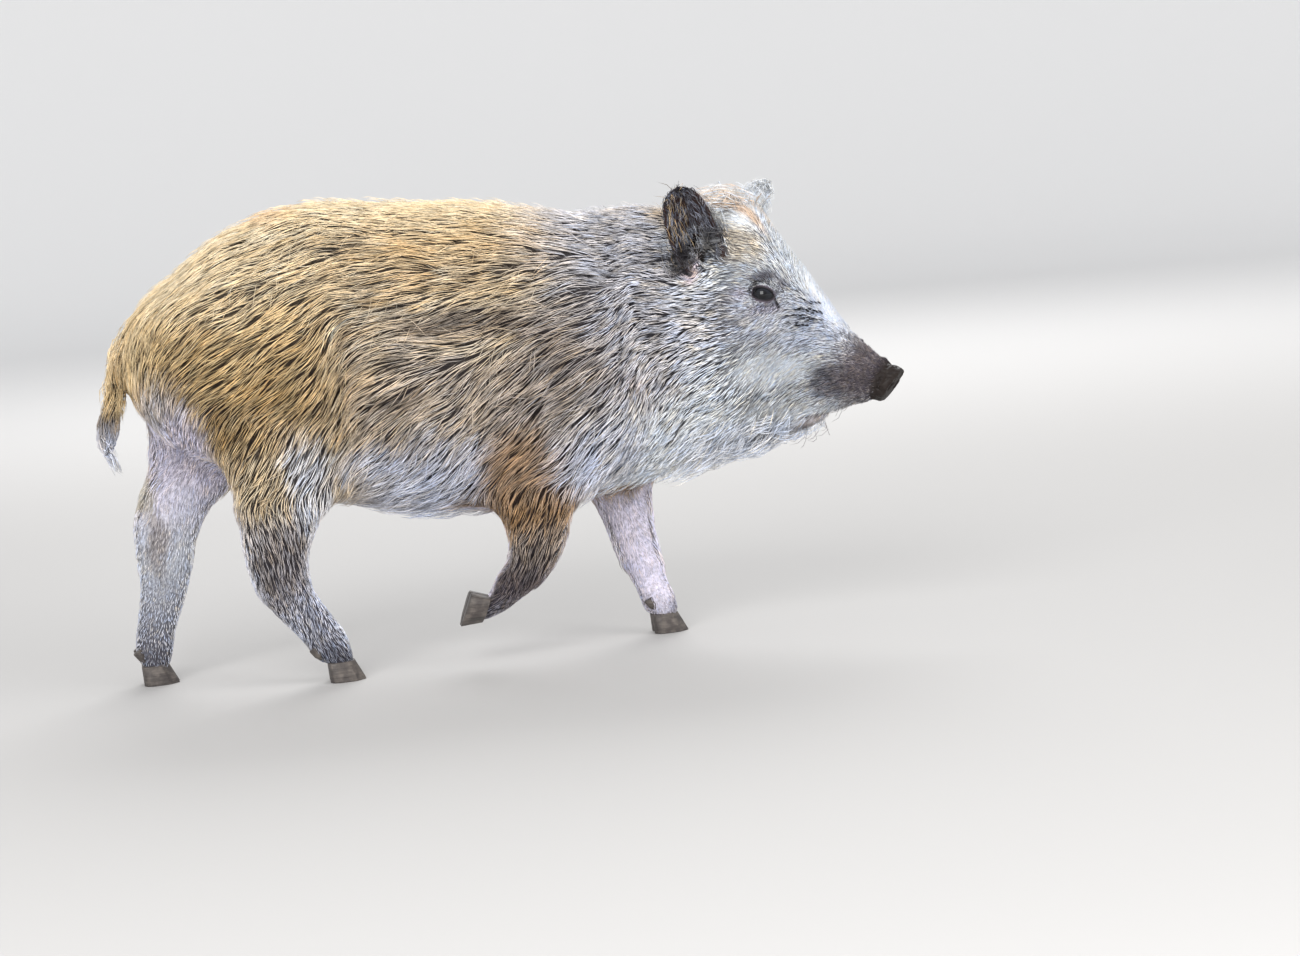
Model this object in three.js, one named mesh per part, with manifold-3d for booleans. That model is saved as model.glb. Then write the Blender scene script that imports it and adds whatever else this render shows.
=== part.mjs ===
// A young European wild boar at its real size, walking, with the right forefoot lifted and the head turned
// a little to its right. Millimetres, +Z up, +X toward the nose, +Y the animal's left. The forms reach out
// to the tips of the coat. The body is one smooth form, parted into its named pieces by thin cuts.

import * as THREE from "three";
import { mergeVertices } from "three/addons/utils/BufferGeometryUtils.js";
import Module from "manifold-3d";

const wasm = await Module();
wasm.setup();

// ---- Driving dimensions -------------------------------------------------------------------------------

const GAP = 0.3; // the thin cut between two pieces
const SOCKET_GAP = 0.7; // round a piece that is set in the flesh
const HEAD_YAW = THREE.MathUtils.degToRad(27); // how far the head turns to the animal's right
const HEAD_ROOT = new THREE.Vector3(40, -8, 0); // where the head's own frame starts, at the poll
const EYE_RADIUS = 11.5;
const EYE_PLACE = { along: 106, aside: 42.4, height: 341 }; // in the head's frame
const DISC = { along: 217.5, height: 239.5, halfHeight: 21, halfWidth: 22, thick: 8, bevel: 2.5 };
const DISC_TILT = THREE.MathUtils.degToRad(37.5); // the snout disc faces forward and this far down
const NOSTRIL = { aside: 9.3, up: 1, halfAcross: 5, halfTall: 6.5, lean: 0.5 };
const MOUTH = { along: 138, height: 217, slope: 0.17, corner: 104, chin: 177 };
const HOOF = { sole: 36, width: 17, height: 20, cleft: 3, topLength: 27, topShift: -5.5 };
const DEWCLAW = {
  length: 17, radius: 5.5, spread: 10, behind: 22, height: 36, droop: THREE.MathUtils.degToRad(32),
};
const LIFTED_TURN = THREE.MathUtils.degToRad(112); // how far the lifted hoof is turned toe down

// ---- The body's form: swept sections, joined smoothly -------------------------------------------------

const SPINE_STEPS = 4; // samples between two stations
const LEG_SIDES = 10;
const TAIL_SIDES = 8;
const REACH = 60; // a form further away than this has no say at a point

const LENGTHWISE = new THREE.Vector3(1, 0, 0);
const SIDEWAYS = new THREE.Vector3(0, 1, 0);

/** Catmull-Rom between stations, which are rows of equal length. */
function smoothRows(rows) {
  const out = [];
  for (let i = 0; i < rows.length - 1; i++) {
    const last = rows.length - 1;
    const [a, b, c, d] = [i - 1, i, i + 1, i + 2].map((n) => rows[THREE.MathUtils.clamp(n, 0, last)]);
    for (let k = 0; k < SPINE_STEPS; k++) {
      const t = k / SPINE_STEPS;
      out.push(b.map((_, n) => catmull(a[n], b[n], c[n], d[n], t)));
    }
  }
  out.push(rows[rows.length - 1]);
  return out;
}

function catmull(a, b, c, d, t) {
  const tangentB = (c - a) / 2;
  const tangentC = (d - b) / 2;
  const cubic = 2 * b - 2 * c + tangentB + tangentC;
  const square = -3 * b + 3 * c - 2 * tangentB - tangentC;
  return ((cubic * t + square) * t + tangentB) * t + b;
}

/**
 * A form swept along a spine. Each station is [x, y, z, toward, away, side]: its centre, and its reach to
 * the upper or front side, to the lower or rear side, and sideways. `across` is the sideways direction.
 * `square` holds the exponents of the section's upper and lower half: 2 is an ellipse, more is boxier.
 */
class Sweep {
  constructor(stations, { across = SIDEWAYS, square = [2, 2], blend = 20, cap = 0.7 } = {}) {
    const rows = smoothRows(stations);
    this.blend = blend;
    this.square = square;
    this.cap = cap;
    this.knots = rows.map((row, i) => {
      const before = rows[Math.max(i - 1, 0)];
      const after = rows[Math.min(i + 1, rows.length - 1)];
      const along = new THREE.Vector3(...[0, 1, 2].map((n) => after[n] - before[n])).normalize();
      const side = across.clone().addScaledVector(along, -across.dot(along)).normalize();
      const up = new THREE.Vector3().crossVectors(along, side);
      return [row[0], row[1], row[2], row[3], row[4], row[5], up.x, up.y, up.z, side.x, side.y, side.z];
    });
    this.box = new THREE.Box3();
    for (const k of this.knots) {
      const reach = Math.max(k[3], k[4], k[5]);
      this.box.expandByPoint(new THREE.Vector3(k[0] - reach, k[1] - reach, k[2] - reach));
      this.box.expandByPoint(new THREE.Vector3(k[0] + reach, k[1] + reach, k[2] + reach));
    }
  }

  distance(x, y, z) {
    const { min, max } = this.box;
    const off = Math.max(min.x - x, x - max.x, min.y - y, y - max.y, min.z - z, z - max.z);
    if (off > REACH) return off;
    let best = Infinity;
    for (let i = 0; i < this.knots.length - 1; i++) {
      best = Math.min(best, this.#segment(this.knots[i], this.knots[i + 1], x, y, z));
    }
    return best;
  }

  #segment(a, b, x, y, z) {
    const [ex, ey, ez] = [b[0] - a[0], b[1] - a[1], b[2] - a[2]];
    const length2 = ex * ex + ey * ey + ez * ez;
    const raw = ((x - a[0]) * ex + (y - a[1]) * ey + (z - a[2]) * ez) / length2;
    const t = Math.min(1, Math.max(0, raw));
    const mix = (n) => a[n] + (b[n] - a[n]) * t;
    const [dx, dy, dz] = [x - mix(0), y - mix(1), z - mix(2)];
    const u = dx * mix(6) + dy * mix(7) + dz * mix(8);
    const v = dx * mix(9) + dy * mix(10) + dz * mix(11);
    const w2 = Math.max(0, dx * dx + dy * dy + dz * dz - u * u - v * v);
    const power = u > 0 ? this.square[0] : this.square[1];
    const reachU = u > 0 ? mix(3) : mix(4);
    const reachV = mix(5);
    const flat = ((Math.abs(u) / reachU) ** power + (Math.abs(v) / reachV) ** power) ** (1 / power);
    const reachW = Math.min(reachU, reachV) * this.cap;
    const whole = Math.sqrt(flat * flat + w2 / (reachW * reachW));
    const far = Math.sqrt(u * u + v * v + w2);
    return whole < 1e-6 ? -Math.min(reachU, reachV) : far - far / whole;
  }
}

/** A rounded lump or hollow, turned to lie along `axis` if that is given. */
class Lump {
  constructor(centre, radii, { axis = LENGTHWISE, blend = 12, hollow = false } = {}) {
    this.centre = centre;
    this.radii = radii;
    this.blend = blend;
    this.hollow = hollow;
    this.turn = new THREE.Quaternion().setFromUnitVectors(axis.clone().normalize(), LENGTHWISE);
  }

  distance(x, y, z) {
    const p = new THREE.Vector3(x, y, z).sub(this.centre).applyQuaternion(this.turn);
    const far = p.length();
    const whole = Math.hypot(p.x / this.radii[0], p.y / this.radii[1], p.z / this.radii[2]);
    return whole < 1e-6 ? -Math.min(...this.radii) : far - far / whole;
  }
}

function smoothMin(a, b, blend) {
  const near = Math.max(blend - Math.abs(a - b), 0) / blend;
  return Math.min(a, b) - (near * near * blend) / 4;
}

// ---- The head's own frame: `along` the muzzle's line on the ground plan, `aside` to its left ------------

const headForward = new THREE.Vector3(Math.cos(HEAD_YAW), -Math.sin(HEAD_YAW), 0);
const headLeft = new THREE.Vector3(Math.sin(HEAD_YAW), Math.cos(HEAD_YAW), 0);

function inHead(along, aside, height) {
  const p = HEAD_ROOT.clone().addScaledVector(headForward, along).addScaledVector(headLeft, aside);
  p.z = height;
  return p;
}

/** A station row in the head's frame. */
function headRow(along, height, ...reach) {
  const p = inHead(along, 0, height);
  return [p.x, p.y, p.z, ...reach];
}

// ---- Forms --------------------------------------------------------------------------------------------

// Trunk and neck, from the tail root forward to inside the head.
const trunkForm = new Sweep([
  [-483, 0, 353, 30, 26, 38],
  [-460, 0, 338, 71, 66, 64],
  [-428, 0, 325, 107, 96, 84],
  [-385, 0, 318, 138, 106, 94],
  [-335, 0, 312, 155, 118, 98],
  [-280, 0, 308, 157, 140, 99],
  [-220, 0, 304, 155, 154, 101],
  [-160, 0, 301, 153, 153, 100],
  [-110, 0, 300, 145, 150, 96],
  [-70, 0, 300, 136, 147, 91],
  [-35, -1, 300, 132, 140, 85],
  [0, -4, 302, 135, 132, 78],
  [30, -10, 306, 132, 124, 69],
  [58, -19, 312, 120, 112, 58],
], { square: [1.95, 2.15] });

// The skull with its cheeks, down to the muzzle.
const headForm = new Sweep([
  headRow(6, 341, 103, 92, 55),
  headRow(38, 326, 116, 98, 60),
  headRow(61, 315, 102, 94, 60),
  headRow(84, 304, 86, 90, 57),
  headRow(107, 293, 74, 84, 50),
  headRow(128, 284, 59, 78, 40),
  headRow(147, 274, 45, 70, 32),
  headRow(165, 265, 35, 58, 28),
  headRow(179, 259, 29, 46, 26),
  headRow(193, 252, 24, 34, 24),
  headRow(212, 243, 21, 25, 22.5),
  headRow(222, 238, 20.5, 23, 22),
], { across: headLeft, square: [2.35, 2.05], blend: 30, cap: 0.3 });

// The beard under jaw and throat.
const throatForm = new Sweep([
  headRow(-48, 216, 40, 52, 52),
  headRow(-5, 224, 40, 48, 50),
  headRow(38, 229, 38, 47, 45),
  headRow(72, 230, 36, 45, 38),
  headRow(100, 230, 32, 37, 30),
  headRow(126, 228, 26, 25, 23),
], { across: headLeft, blend: 26 });

// Brow, cheekbone and jowl on both sides, and the hollow that holds the eye.
const headLumps = [-1, 1].flatMap((side) => [
  new Lump(inHead(100, side * 41, 358), [17, 10, 9], { axis: new THREE.Vector3(1, 0, -0.5), blend: 12 }),
  new Lump(inHead(84, side * 50, 318), [26, 11, 15], { axis: new THREE.Vector3(1, 0, -0.5), blend: 20 }),
  new Lump(inHead(52, side * 46, 268), [34, 20, 32], { blend: 24 }),
  new Lump(inHead(120, side * 49, 333), [13, 8, 9], { blend: 10, hollow: true }),
  new Lump(inHead(EYE_PLACE.along, side * 58, EYE_PLACE.height), [14, 8, 8], { blend: 8, hollow: true }),
  new Lump(inHead(49, side * 70, 398), [15, 17, 21], { blend: 8, hollow: true }),
]);

// Legs, each from inside the trunk down to the coronet. The front reach is the fourth number.
const LEFT_FORE_FOOT = { x: 12, y: 34 };
const LEFT_HIND_FOOT = { x: -502, y: 46 };
const RIGHT_HIND_FOOT = { x: -321, y: -54 };
const LIFTED_FOOT = { x: -200, y: -50, z: 57 };

const foreLeft = new Sweep([
  [-80, 45, 345, 50, 55, 40],
  [-52, 54, 270, 52, 55, 38],
  [-44, 53, 210, 46, 48, 34],
  [-30, 50, 165, 38, 36, 29],
  [-21, 46, 130, 29, 31, 24],
  [-16, 42, 98, 25, 27, 21],
  [-10, 39, 75, 22, 22, 20],
  [-3, 37, 50, 16.5, 17.5, 17],
  [3, 35, 32, 17.5, 18.5, 18],
  [7, 34, 14, 15, 15, 17.5],
], { blend: 30 });

const foreRight = new Sweep([
  [-80, -45, 345, 50, 55, 40],
  [-66, -55, 265, 54, 56, 39],
  [-98, -58, 208, 48, 50, 35],
  [-118, -58, 168, 40, 43, 30],
  [-121, -57, 138, 35, 36, 26],
  [-125, -56, 112, 30, 30, 23],
  [-134, -55, 92, 21, 23, 21],
  [-152, -53, 77, 17.5, 18, 17.5],
  [-170, -51, 66, 18, 18.5, 18],
  [-187, -50, 57, 15, 15, 17.5],
], { blend: 30 });

const hindLeft = new Sweep([
  [-408, 40, 360, 72, 78, 48],
  [-424, 54, 300, 80, 60, 42],
  [-438, 59, 250, 64, 57, 38],
  [-455, 58, 210, 46, 44, 33],
  [-471, 55, 180, 35, 35, 28],
  [-481, 53, 155, 33, 37, 25],
  [-485, 51, 128, 29, 33, 23],
  [-491, 49, 96, 26, 25, 20],
  [-501, 47, 62, 21, 21, 18],
  [-506, 46, 38, 20, 20, 18.5],
  [-507, 46, 14, 15, 15, 17.5],
], { blend: 30 });

const hindRight = new Sweep([
  [-400, -40, 360, 76, 80, 48],
  [-389, -54, 300, 80, 72, 42],
  [-374, -60, 250, 68, 57, 38],
  [-366, -61, 205, 54, 54, 34],
  [-373, -60, 165, 40, 44, 29],
  [-379, -58, 132, 33, 35, 25],
  [-378, -57, 108, 31, 30, 24],
  [-366, -56, 82, 24, 24, 20],
  [-350, -55, 59, 21, 21, 18],
  [-336, -54, 38, 20, 20, 18.5],
  [-327, -54, 14, 15, 15, 17.5],
], { blend: 30 });

// The tail hangs, thin at its root and full at the tuft.
const tailForm = new Sweep([
  [-484, 0, 364, 11, 11, 13],
  [-503, 0, 348, 9, 9, 10],
  [-515, 0, 322, 7, 7, 8],
  [-522, 0, 295, 7, 7, 7.5],
  [-528, 0, 268, 11, 11, 10],
  [-532, 0, 250, 9, 10, 8],
  [-535, 0, 240, 4, 4, 4],
], { blend: 10, cap: 0.9 });

const bodyForms = [trunkForm, headForm, throatForm, foreLeft, foreRight, hindLeft, hindRight];

/** Below zero inside the coat's outer surface. */
function body(x, y, z) {
  let d = Infinity;
  for (const form of bodyForms) d = smoothMin(d, form.distance(x, y, z), form.blend);
  for (const lump of headLumps) {
    const other = lump.distance(x, y, z);
    d = lump.hollow ? -smoothMin(-d, other, lump.blend) : smoothMin(d, other, lump.blend);
  }
  return d;
}

// ---- From a form to a closed mesh ---------------------------------------------------------------------

const MARGIN = 1.2; // cells that a mesh runs on past its region, so that no rounded end is left inside it

/** Surface nets: one point in each grid cell that the surface passes, and a quad over each crossed edge. */
function meshForm(form, box, cell) {
  const count = ["x", "y", "z"].map((n) => Math.ceil((box.max[n] - box.min[n]) / cell) + 5);
  const start = ["x", "y", "z"].map((n, i) => (box.min[n] + box.max[n]) / 2 - ((count[i] - 1) * cell) / 2);
  const middle = box.getCenter(new THREE.Vector3());
  const half = box.getSize(new THREE.Vector3()).multiplyScalar(0.5).addScalar(MARGIN * cell);
  const walled = (x, y, z) => Math.max(
    form(x, y, z),
    Math.abs(x - middle.x) - half.x,
    Math.abs(y - middle.y) - half.y,
    Math.abs(z - middle.z) - half.z,
  );
  const step = [1, count[0], count[0] * count[1]];
  const values = new Float64Array(count[0] * count[1] * count[2]);
  eachNode(count, (i, j, k) => {
    const place = [i, j, k].map((steps, n) => start[n] + steps * cell);
    values[i + j * step[1] + k * step[2]] = walled(...place);
  });
  const points = [];
  const pointOf = new Map();
  eachNode(count.map((n) => n - 1), (i, j, k) => {
    const p = cellPoint(values, step, [i, j, k]);
    if (!p) return;
    pointOf.set(i + j * step[1] + k * step[2], points.length);
    points.push(settle(walled, p.map((v, n) => start[n] + v * cell), cell));
  });
  const faces = [];
  eachNode(count.map((n) => n - 1), (i, j, k) => {
    const at = i + j * step[1] + k * step[2];
    for (let axis = 0; axis < 3; axis++) {
      const inside = values[at] < 0;
      if (inside === values[at + step[axis]] < 0) continue;
      const [b, c] = [step[(axis + 1) % 3], step[(axis + 2) % 3]];
      const ring = [at - b - c, at - c, at, at - b].map((cellAt) => pointOf.get(cellAt));
      if (!inside) ring.reverse();
      addQuad(faces, points, ring);
    }
  });
  return closedMesh(points.flat(), faces);
}

function eachNode(count, visit) {
  for (let k = 0; k < count[2]; k++) {
    for (let j = 0; j < count[1]; j++) {
      for (let i = 0; i < count[0]; i++) visit(i, j, k);
    }
  }
}

/** The mean of the crossings on a cell's twelve edges, in grid steps, or nothing. */
function cellPoint(values, step, [i, j, k]) {
  const base = i + j * step[1] + k * step[2];
  const sum = [0, 0, 0];
  let crossings = 0;
  for (let axis = 0; axis < 3; axis++) {
    const [b, c] = [(axis + 1) % 3, (axis + 2) % 3];
    for (let corner = 0; corner < 4; corner++) {
      const [onB, onC] = [corner & 1, corner >> 1];
      const from = base + onB * step[b] + onC * step[c];
      const [low, high] = [values[from], values[from + step[axis]]];
      if (low < 0 === high < 0) continue;
      sum[axis] += low / (low - high);
      sum[b] += onB;
      sum[c] += onC;
      crossings++;
    }
  }
  return crossings ? [i + sum[0] / crossings, j + sum[1] / crossings, k + sum[2] / crossings] : null;
}

const PROBE = 0.5; // the step that measures a form's slope
const SETTLE_ROUNDS = 3;
const FLATTEST = 0.2; // a slope squared below this is taken as this, so that no step runs away
const FURTHEST = 0.45; // cells

/** Moves a point onto the surface, down the form's own slope, and no further than part of a cell. */
function settle(form, point, cell) {
  const p = [...point];
  for (let round = 0; round < SETTLE_ROUNDS; round++) {
    const d = form(...p);
    const slope = [0, 1, 2].map((n) => {
      const q = [...p];
      q[n] += PROBE;
      return (form(...q) - d) / PROBE;
    });
    const steep = Math.max(slope.reduce((s, v) => s + v * v, 0), FLATTEST);
    for (let n = 0; n < 3; n++) p[n] -= (d * slope[n]) / steep;
  }
  const moved = Math.hypot(p[0] - point[0], p[1] - point[1], p[2] - point[2]);
  return moved < FURTHEST * cell ? p : point;
}

/** Two triangles, split along the shorter diagonal. */
function addQuad(faces, points, [a, b, c, d]) {
  const gap = (m, n) => Math.hypot(...points[m].map((v, i) => v - points[n][i]));
  if (gap(a, c) < gap(b, d)) faces.push(a, b, c, a, c, d);
  else faces.push(b, c, d, b, d, a);
}

function closedMesh(positions, faces) {
  const geometry = new THREE.BufferGeometry();
  geometry.setAttribute("position", new THREE.Float32BufferAttribute(positions, 3));
  geometry.setIndex(faces);
  return geometry;
}

// ---- Joining and cutting ------------------------------------------------------------------------------

const WELD = 1e-3; // corners closer than this are one

/** A mesh's bare surface, each corner once. */
function welded(geometry) {
  const bare = geometry.clone();
  bare.deleteAttribute("normal");
  bare.deleteAttribute("uv");
  return mergeVertices(bare, WELD);
}

function solid(geometry) {
  const merged = welded(geometry);
  return new wasm.Manifold(new wasm.Mesh({
    numProp: 3,
    vertProperties: new Float32Array(merged.attributes.position.array),
    triVerts: new Uint32Array(merged.index.array),
  }));
}

function geometryOf(manifold) {
  const mesh = manifold.getMesh();
  return closedMesh(Array.from(mesh.vertProperties), Array.from(mesh.triVerts));
}

const BLOCK = 3000; // longer than the animal, so that a block stands for all space on one side of a plane

/** All space on the far side of a plane from its normal. */
function behind(point, normal, grow) {
  const n = normal.clone().normalize();
  const block = new THREE.BoxGeometry(BLOCK, BLOCK, BLOCK);
  block.applyQuaternion(new THREE.Quaternion().setFromUnitVectors(new THREE.Vector3(0, 0, 1), n));
  const at = point.clone().addScaledVector(n, grow - BLOCK / 2);
  block.translate(at.x, at.y, at.z);
  return solid(block);
}

/** A region's block: a box trimmed by planes whose normals point out of it, grown by `grow`. */
function regionBlock({ box, planes = [] }, grow) {
  const size = box.getSize(new THREE.Vector3()).addScalar(2 * grow);
  const centre = box.getCenter(new THREE.Vector3());
  const whole = new THREE.BoxGeometry(size.x, size.y, size.z);
  whole.translate(centre.x, centre.y, centre.z);
  return planes.reduce((rest, [point, normal]) => rest.intersect(behind(point, normal, grow)), solid(whole));
}

const v = (x, y, z) => new THREE.Vector3(x, y, z);
const span = (x0, x1, y0, y1, z0, z1) => new THREE.Box3(v(x0, y0, z0), v(x1, y1, z1));

// ---- Regions: where the thin cuts run ------------------------------------------------------------------

const mouthNormal = headForward.clone().multiplyScalar(-MOUTH.slope).add(v(0, 0, 1)).normalize();
const discOut = headForward.clone().multiplyScalar(Math.cos(DISC_TILT)).add(v(0, 0, -Math.sin(DISC_TILT)));
const discCentre = inHead(DISC.along, 0, DISC.height);
const discBack = discCentre.clone().addScaledVector(discOut, -DISC.thick - GAP);
const soleOut = v(-Math.sin(LIFTED_TURN), 0, -Math.cos(LIFTED_TURN));
const liftedTop = v(LIFTED_FOOT.x, LIFTED_FOOT.y, LIFTED_FOOT.z).addScaledVector(soleOut, -HOOF.height - GAP);
const NECK_CUT = [inHead(-8, 0, 300), headForward.clone().add(v(0, 0, 0.1))];
const SHOULDER_CUT = [v(-36, 0, 300), v(1, 0, 0.08)];
const RUMP_FRONT = -302;
const THIGH_CUT = [v(-400, 0, 272), v(0.24, 0, 0.97)];
const toBack = ([point, normal]) => [point, normal.clone().negate()];
const SOLE_TOP = HOOF.height + GAP;

// In cutting order: each region keeps what the earlier ones left. One with a leg's name is a length of
// that leg, below where it joins the body. The others are meshed in cells of the size given.
const regions = {
  foreleg_left_pastern: { leg: foreLeft, box: span(-25, 35, 8, 62, SOLE_TOP, 41) },
  foreleg_left_cannon: { leg: foreLeft, box: span(-40, 35, 8, 68, 41, 74) },
  foreleg_left_upper: { cell: 16, box: span(-82, 30, 16, 90, 74, 172) },
  foreleg_right_pastern: {
    leg: foreRight,
    box: span(-215, -150, -78, -22, 25, 100),
    planes: [[liftedTop, soleOut], [v(-163, -52, 70), v(0.86, 0, 0.51)]],
  },
  foreleg_right_cannon: {
    leg: foreRight,
    box: span(-215, -105, -84, -22, 25, 110),
    planes: [[liftedTop, soleOut], [v(-136, -55, 91), v(0.55, 0, 0.83)]],
  },
  foreleg_right_upper: {
    cell: 16,
    box: span(-186, -68, -100, -16, 60, 172),
    planes: [[v(-172, 0, 100), v(-1, 0, -1)]],
  },
  hindleg_left_pastern: { leg: hindLeft, box: span(-540, -475, 18, 74, SOLE_TOP, 46) },
  hindleg_left_cannon: { leg: hindLeft, box: span(-540, -450, 18, 78, 46, 120) },
  hindleg_left_shank: { cell: 18, box: span(-540, -405, 14, 92, 120, 196) },
  hindleg_right_pastern: {
    leg: hindRight,
    box: span(-370, -295, -84, -24, SOLE_TOP, 60),
    planes: [[v(-341, -54, 46), v(-0.5, 0, 0.86)]],
  },
  hindleg_right_cannon: {
    leg: hindRight,
    box: span(-410, -295, -88, -24, 20, 120),
    planes: [[v(-377, -57, 104), v(-0.3, 0, 0.95)]],
  },
  hindleg_right_shank: { cell: 18, box: span(-430, -310, -94, -20, 60, 184) },
  hindleg_left_thigh: { cell: 26, box: span(-520, RUMP_FRONT, 0, 110, 150, 320), planes: [THIGH_CUT] },
  hindleg_right_thigh: { cell: 26, box: span(-520, RUMP_FRONT, -110, 0, 150, 320), planes: [THIGH_CUT] },
  jaw: {
    cell: 13,
    box: span(95, 235, -160, 0, 170, 245),
    planes: [
      [inHead(MOUTH.along, 0, MOUTH.height), mouthNormal],
      [inHead(MOUTH.corner, 0, 220), headForward.clone().negate()],
      [inHead(MOUTH.chin, 0, 220), headForward.clone().add(v(0, 0, -0.5))],
    ],
  },
  head: {
    cell: 17.5,
    box: span(-25, 275, -170, 60, 150, 460),
    planes: [toBack(NECK_CUT), [discBack, discOut]],
  },
  neck: { cell: 26, box: span(-60, 90, -120, 120, 130, 460), planes: [toBack(SHOULDER_CUT), NECK_CUT] },
  rump: { cell: 28, box: span(-520, RUMP_FRONT, -120, 120, 150, 480) },
  trunk: { cell: 29, box: span(RUMP_FRONT, 0, -125, 125, 130, 480), planes: [SHOULDER_CUT] },
};

// ---- Ears ---------------------------------------------------------------------------------------------

/**
 * An ear is a leaf rolled into a cup. `rise` runs from base to tip, `open` is the way the cup faces. The
 * wall is thick enough for its hair.
 */
const EAR = {
  width: 24, widest: 0.42, wrapBase: 1.9, wrapTip: 0.75, wall: 6.5, thinning: 0.45, bore: 0.8,
  curl: 9, buried: 9, rows: 7, columns: 6,
};

/** Half the ear's width at a share `u` of its length: drawn in a little at the base, round at the tip. */
function earReach(u) {
  const off = (u - EAR.widest) / (u < EAR.widest ? 0.62 : 1 - EAR.widest);
  return EAR.width * Math.pow(1 - Math.min(1, Math.abs(off) ** 2.4), 1 / 2.4) + 2;
}

function earGeometry({ base, tip, open }) {
  const rise = tip.clone().sub(base).normalize();
  const facing = open.clone().addScaledVector(rise, -open.dot(rise)).normalize();
  const wide = new THREE.Vector3().crossVectors(rise, facing);
  const length = tip.distanceTo(base) + EAR.buried;
  const rings = [];
  for (let i = 0; i <= EAR.rows; i++) {
    const u = 1 - (1 - i / EAR.rows) ** 1.4;
    const wrap = THREE.MathUtils.lerp(EAR.wrapBase, EAR.wrapTip, u);
    const reach = earReach(u);
    const radius = reach / Math.sin(Math.min(wrap, Math.PI / 2));
    const wall = EAR.wall * (1 - EAR.thinning * u);
    const forward = EAR.curl * u * u + 0.6 * radius * Math.cos(Math.min(wrap, Math.PI / 2));
    const centre = base.clone().addScaledVector(rise, u * length - EAR.buried);
    centre.addScaledVector(facing, forward);
    const ring = [];
    for (const [from, to, inner] of [[-1, 1, 0], [1, -1, 1]]) {
      for (let j = 0; j <= EAR.columns; j++) {
        const across = from + ((to - from) * j) / EAR.columns;
        const angle = across * wrap;
        const r = inner ? Math.max(radius - wall, EAR.bore) : radius;
        ring.push(centre.clone()
          .addScaledVector(wide, r * Math.sin(angle))
          .addScaledVector(facing, -r * Math.cos(angle)));
      }
    }
    rings.push(ring);
  }
  return skinRings(rings);
}

/** A closed mesh over rings of equal, even length, with a strip over each end. */
function skinRings(rings) {
  const size = rings[0].length;
  const positions = rings.flat().flatMap((p) => [p.x, p.y, p.z]);
  const faces = [];
  for (let i = 0; i < rings.length - 1; i++) {
    for (let j = 0; j < size; j++) {
      const [a, b] = [i * size + j, i * size + ((j + 1) % size)];
      faces.push(a, b + size, b, a, a + size, b + size);
    }
  }
  const half = size / 2;
  const last = (rings.length - 1) * size;
  for (let j = 0; j < half - 1; j++) {
    const [a, b, c, d] = [j, j + 1, size - 2 - j, size - 1 - j];
    faces.push(a, b, c, a, c, d);
    faces.push(last + a, last + c, last + b, last + a, last + d, last + c);
  }
  return facingOut(closedMesh(positions, faces));
}

/** The same closed mesh with each corner moved out, along the mean of its faces' normals by their angles. */
function grown(geometry, extra) {
  const merged = welded(geometry);
  const [at, index] = [merged.attributes.position, merged.index];
  const corners = Array.from({ length: at.count }, (_, i) => new THREE.Vector3().fromBufferAttribute(at, i));
  const ways = corners.map(() => new THREE.Vector3());
  for (let i = 0; i < index.count; i += 3) {
    const face = [0, 1, 2].map((n) => index.getX(i + n));
    const normal = new THREE.Triangle(...face.map((n) => corners[n])).getNormal(new THREE.Vector3());
    face.forEach((own, n) => {
      const toNext = corners[face[(n + 1) % 3]].clone().sub(corners[own]);
      const toLast = corners[face[(n + 2) % 3]].clone().sub(corners[own]);
      ways[own].addScaledVector(normal, toNext.angleTo(toLast));
    });
  }
  corners.forEach((corner, i) => corner.addScaledVector(ways[i].normalize(), extra));
  return closedMesh(corners.flatMap((p) => [p.x, p.y, p.z]), Array.from(index.array));
}

/** Reverses the faces of a closed mesh that is inside out. */
function facingOut(geometry) {
  const [at, index] = [geometry.attributes.position, geometry.index];
  const corner = [0, 1, 2].map(() => new THREE.Vector3());
  let volume = 0;
  for (let i = 0; i < index.count; i += 3) {
    corner.forEach((c, n) => c.fromBufferAttribute(at, index.getX(i + n)));
    volume += corner[0].dot(corner[1].cross(corner[2]));
  }
  if (volume < 0) index.array.reverse();
  return geometry;
}

/** A closed mesh straight from a sweep's elliptical sections, every second one of them. */
function sweepMesh(form, sides) {
  const rings = form.knots.filter((_, i) => i % 2 === 0).map((k) => {
    const [centre, up, side] = [v(k[0], k[1], k[2]), v(k[6], k[7], k[8]), v(k[9], k[10], k[11])];
    return Array.from({ length: sides }, (_, j) => {
      const angle = (2 * Math.PI * (j + 0.5)) / sides;
      const [c, s] = [Math.cos(angle), Math.sin(angle)];
      const radius = 1 / Math.hypot(c / (c > 0 ? k[3] : k[4]), s / k[5]);
      return centre.clone().addScaledVector(up, radius * c).addScaledVector(side, radius * s);
    });
  });
  return skinRings(rings);
}

// The near ear is laid back and open to the side, the far ear is pricked forward.
const ears = {
  ear_right: {
    base: inHead(52, -59, 381),
    tip: inHead(37, -78, 454),
    open: headLeft.clone().multiplyScalar(-1).addScaledVector(headForward, 0.45),
  },
  ear_left: {
    base: inHead(50, 57, 379),
    tip: inHead(75, 80, 444),
    open: headLeft.clone().addScaledVector(headForward, 0.7),
  },
};

// ---- Hooves and dewclaws ------------------------------------------------------------------------------

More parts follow.
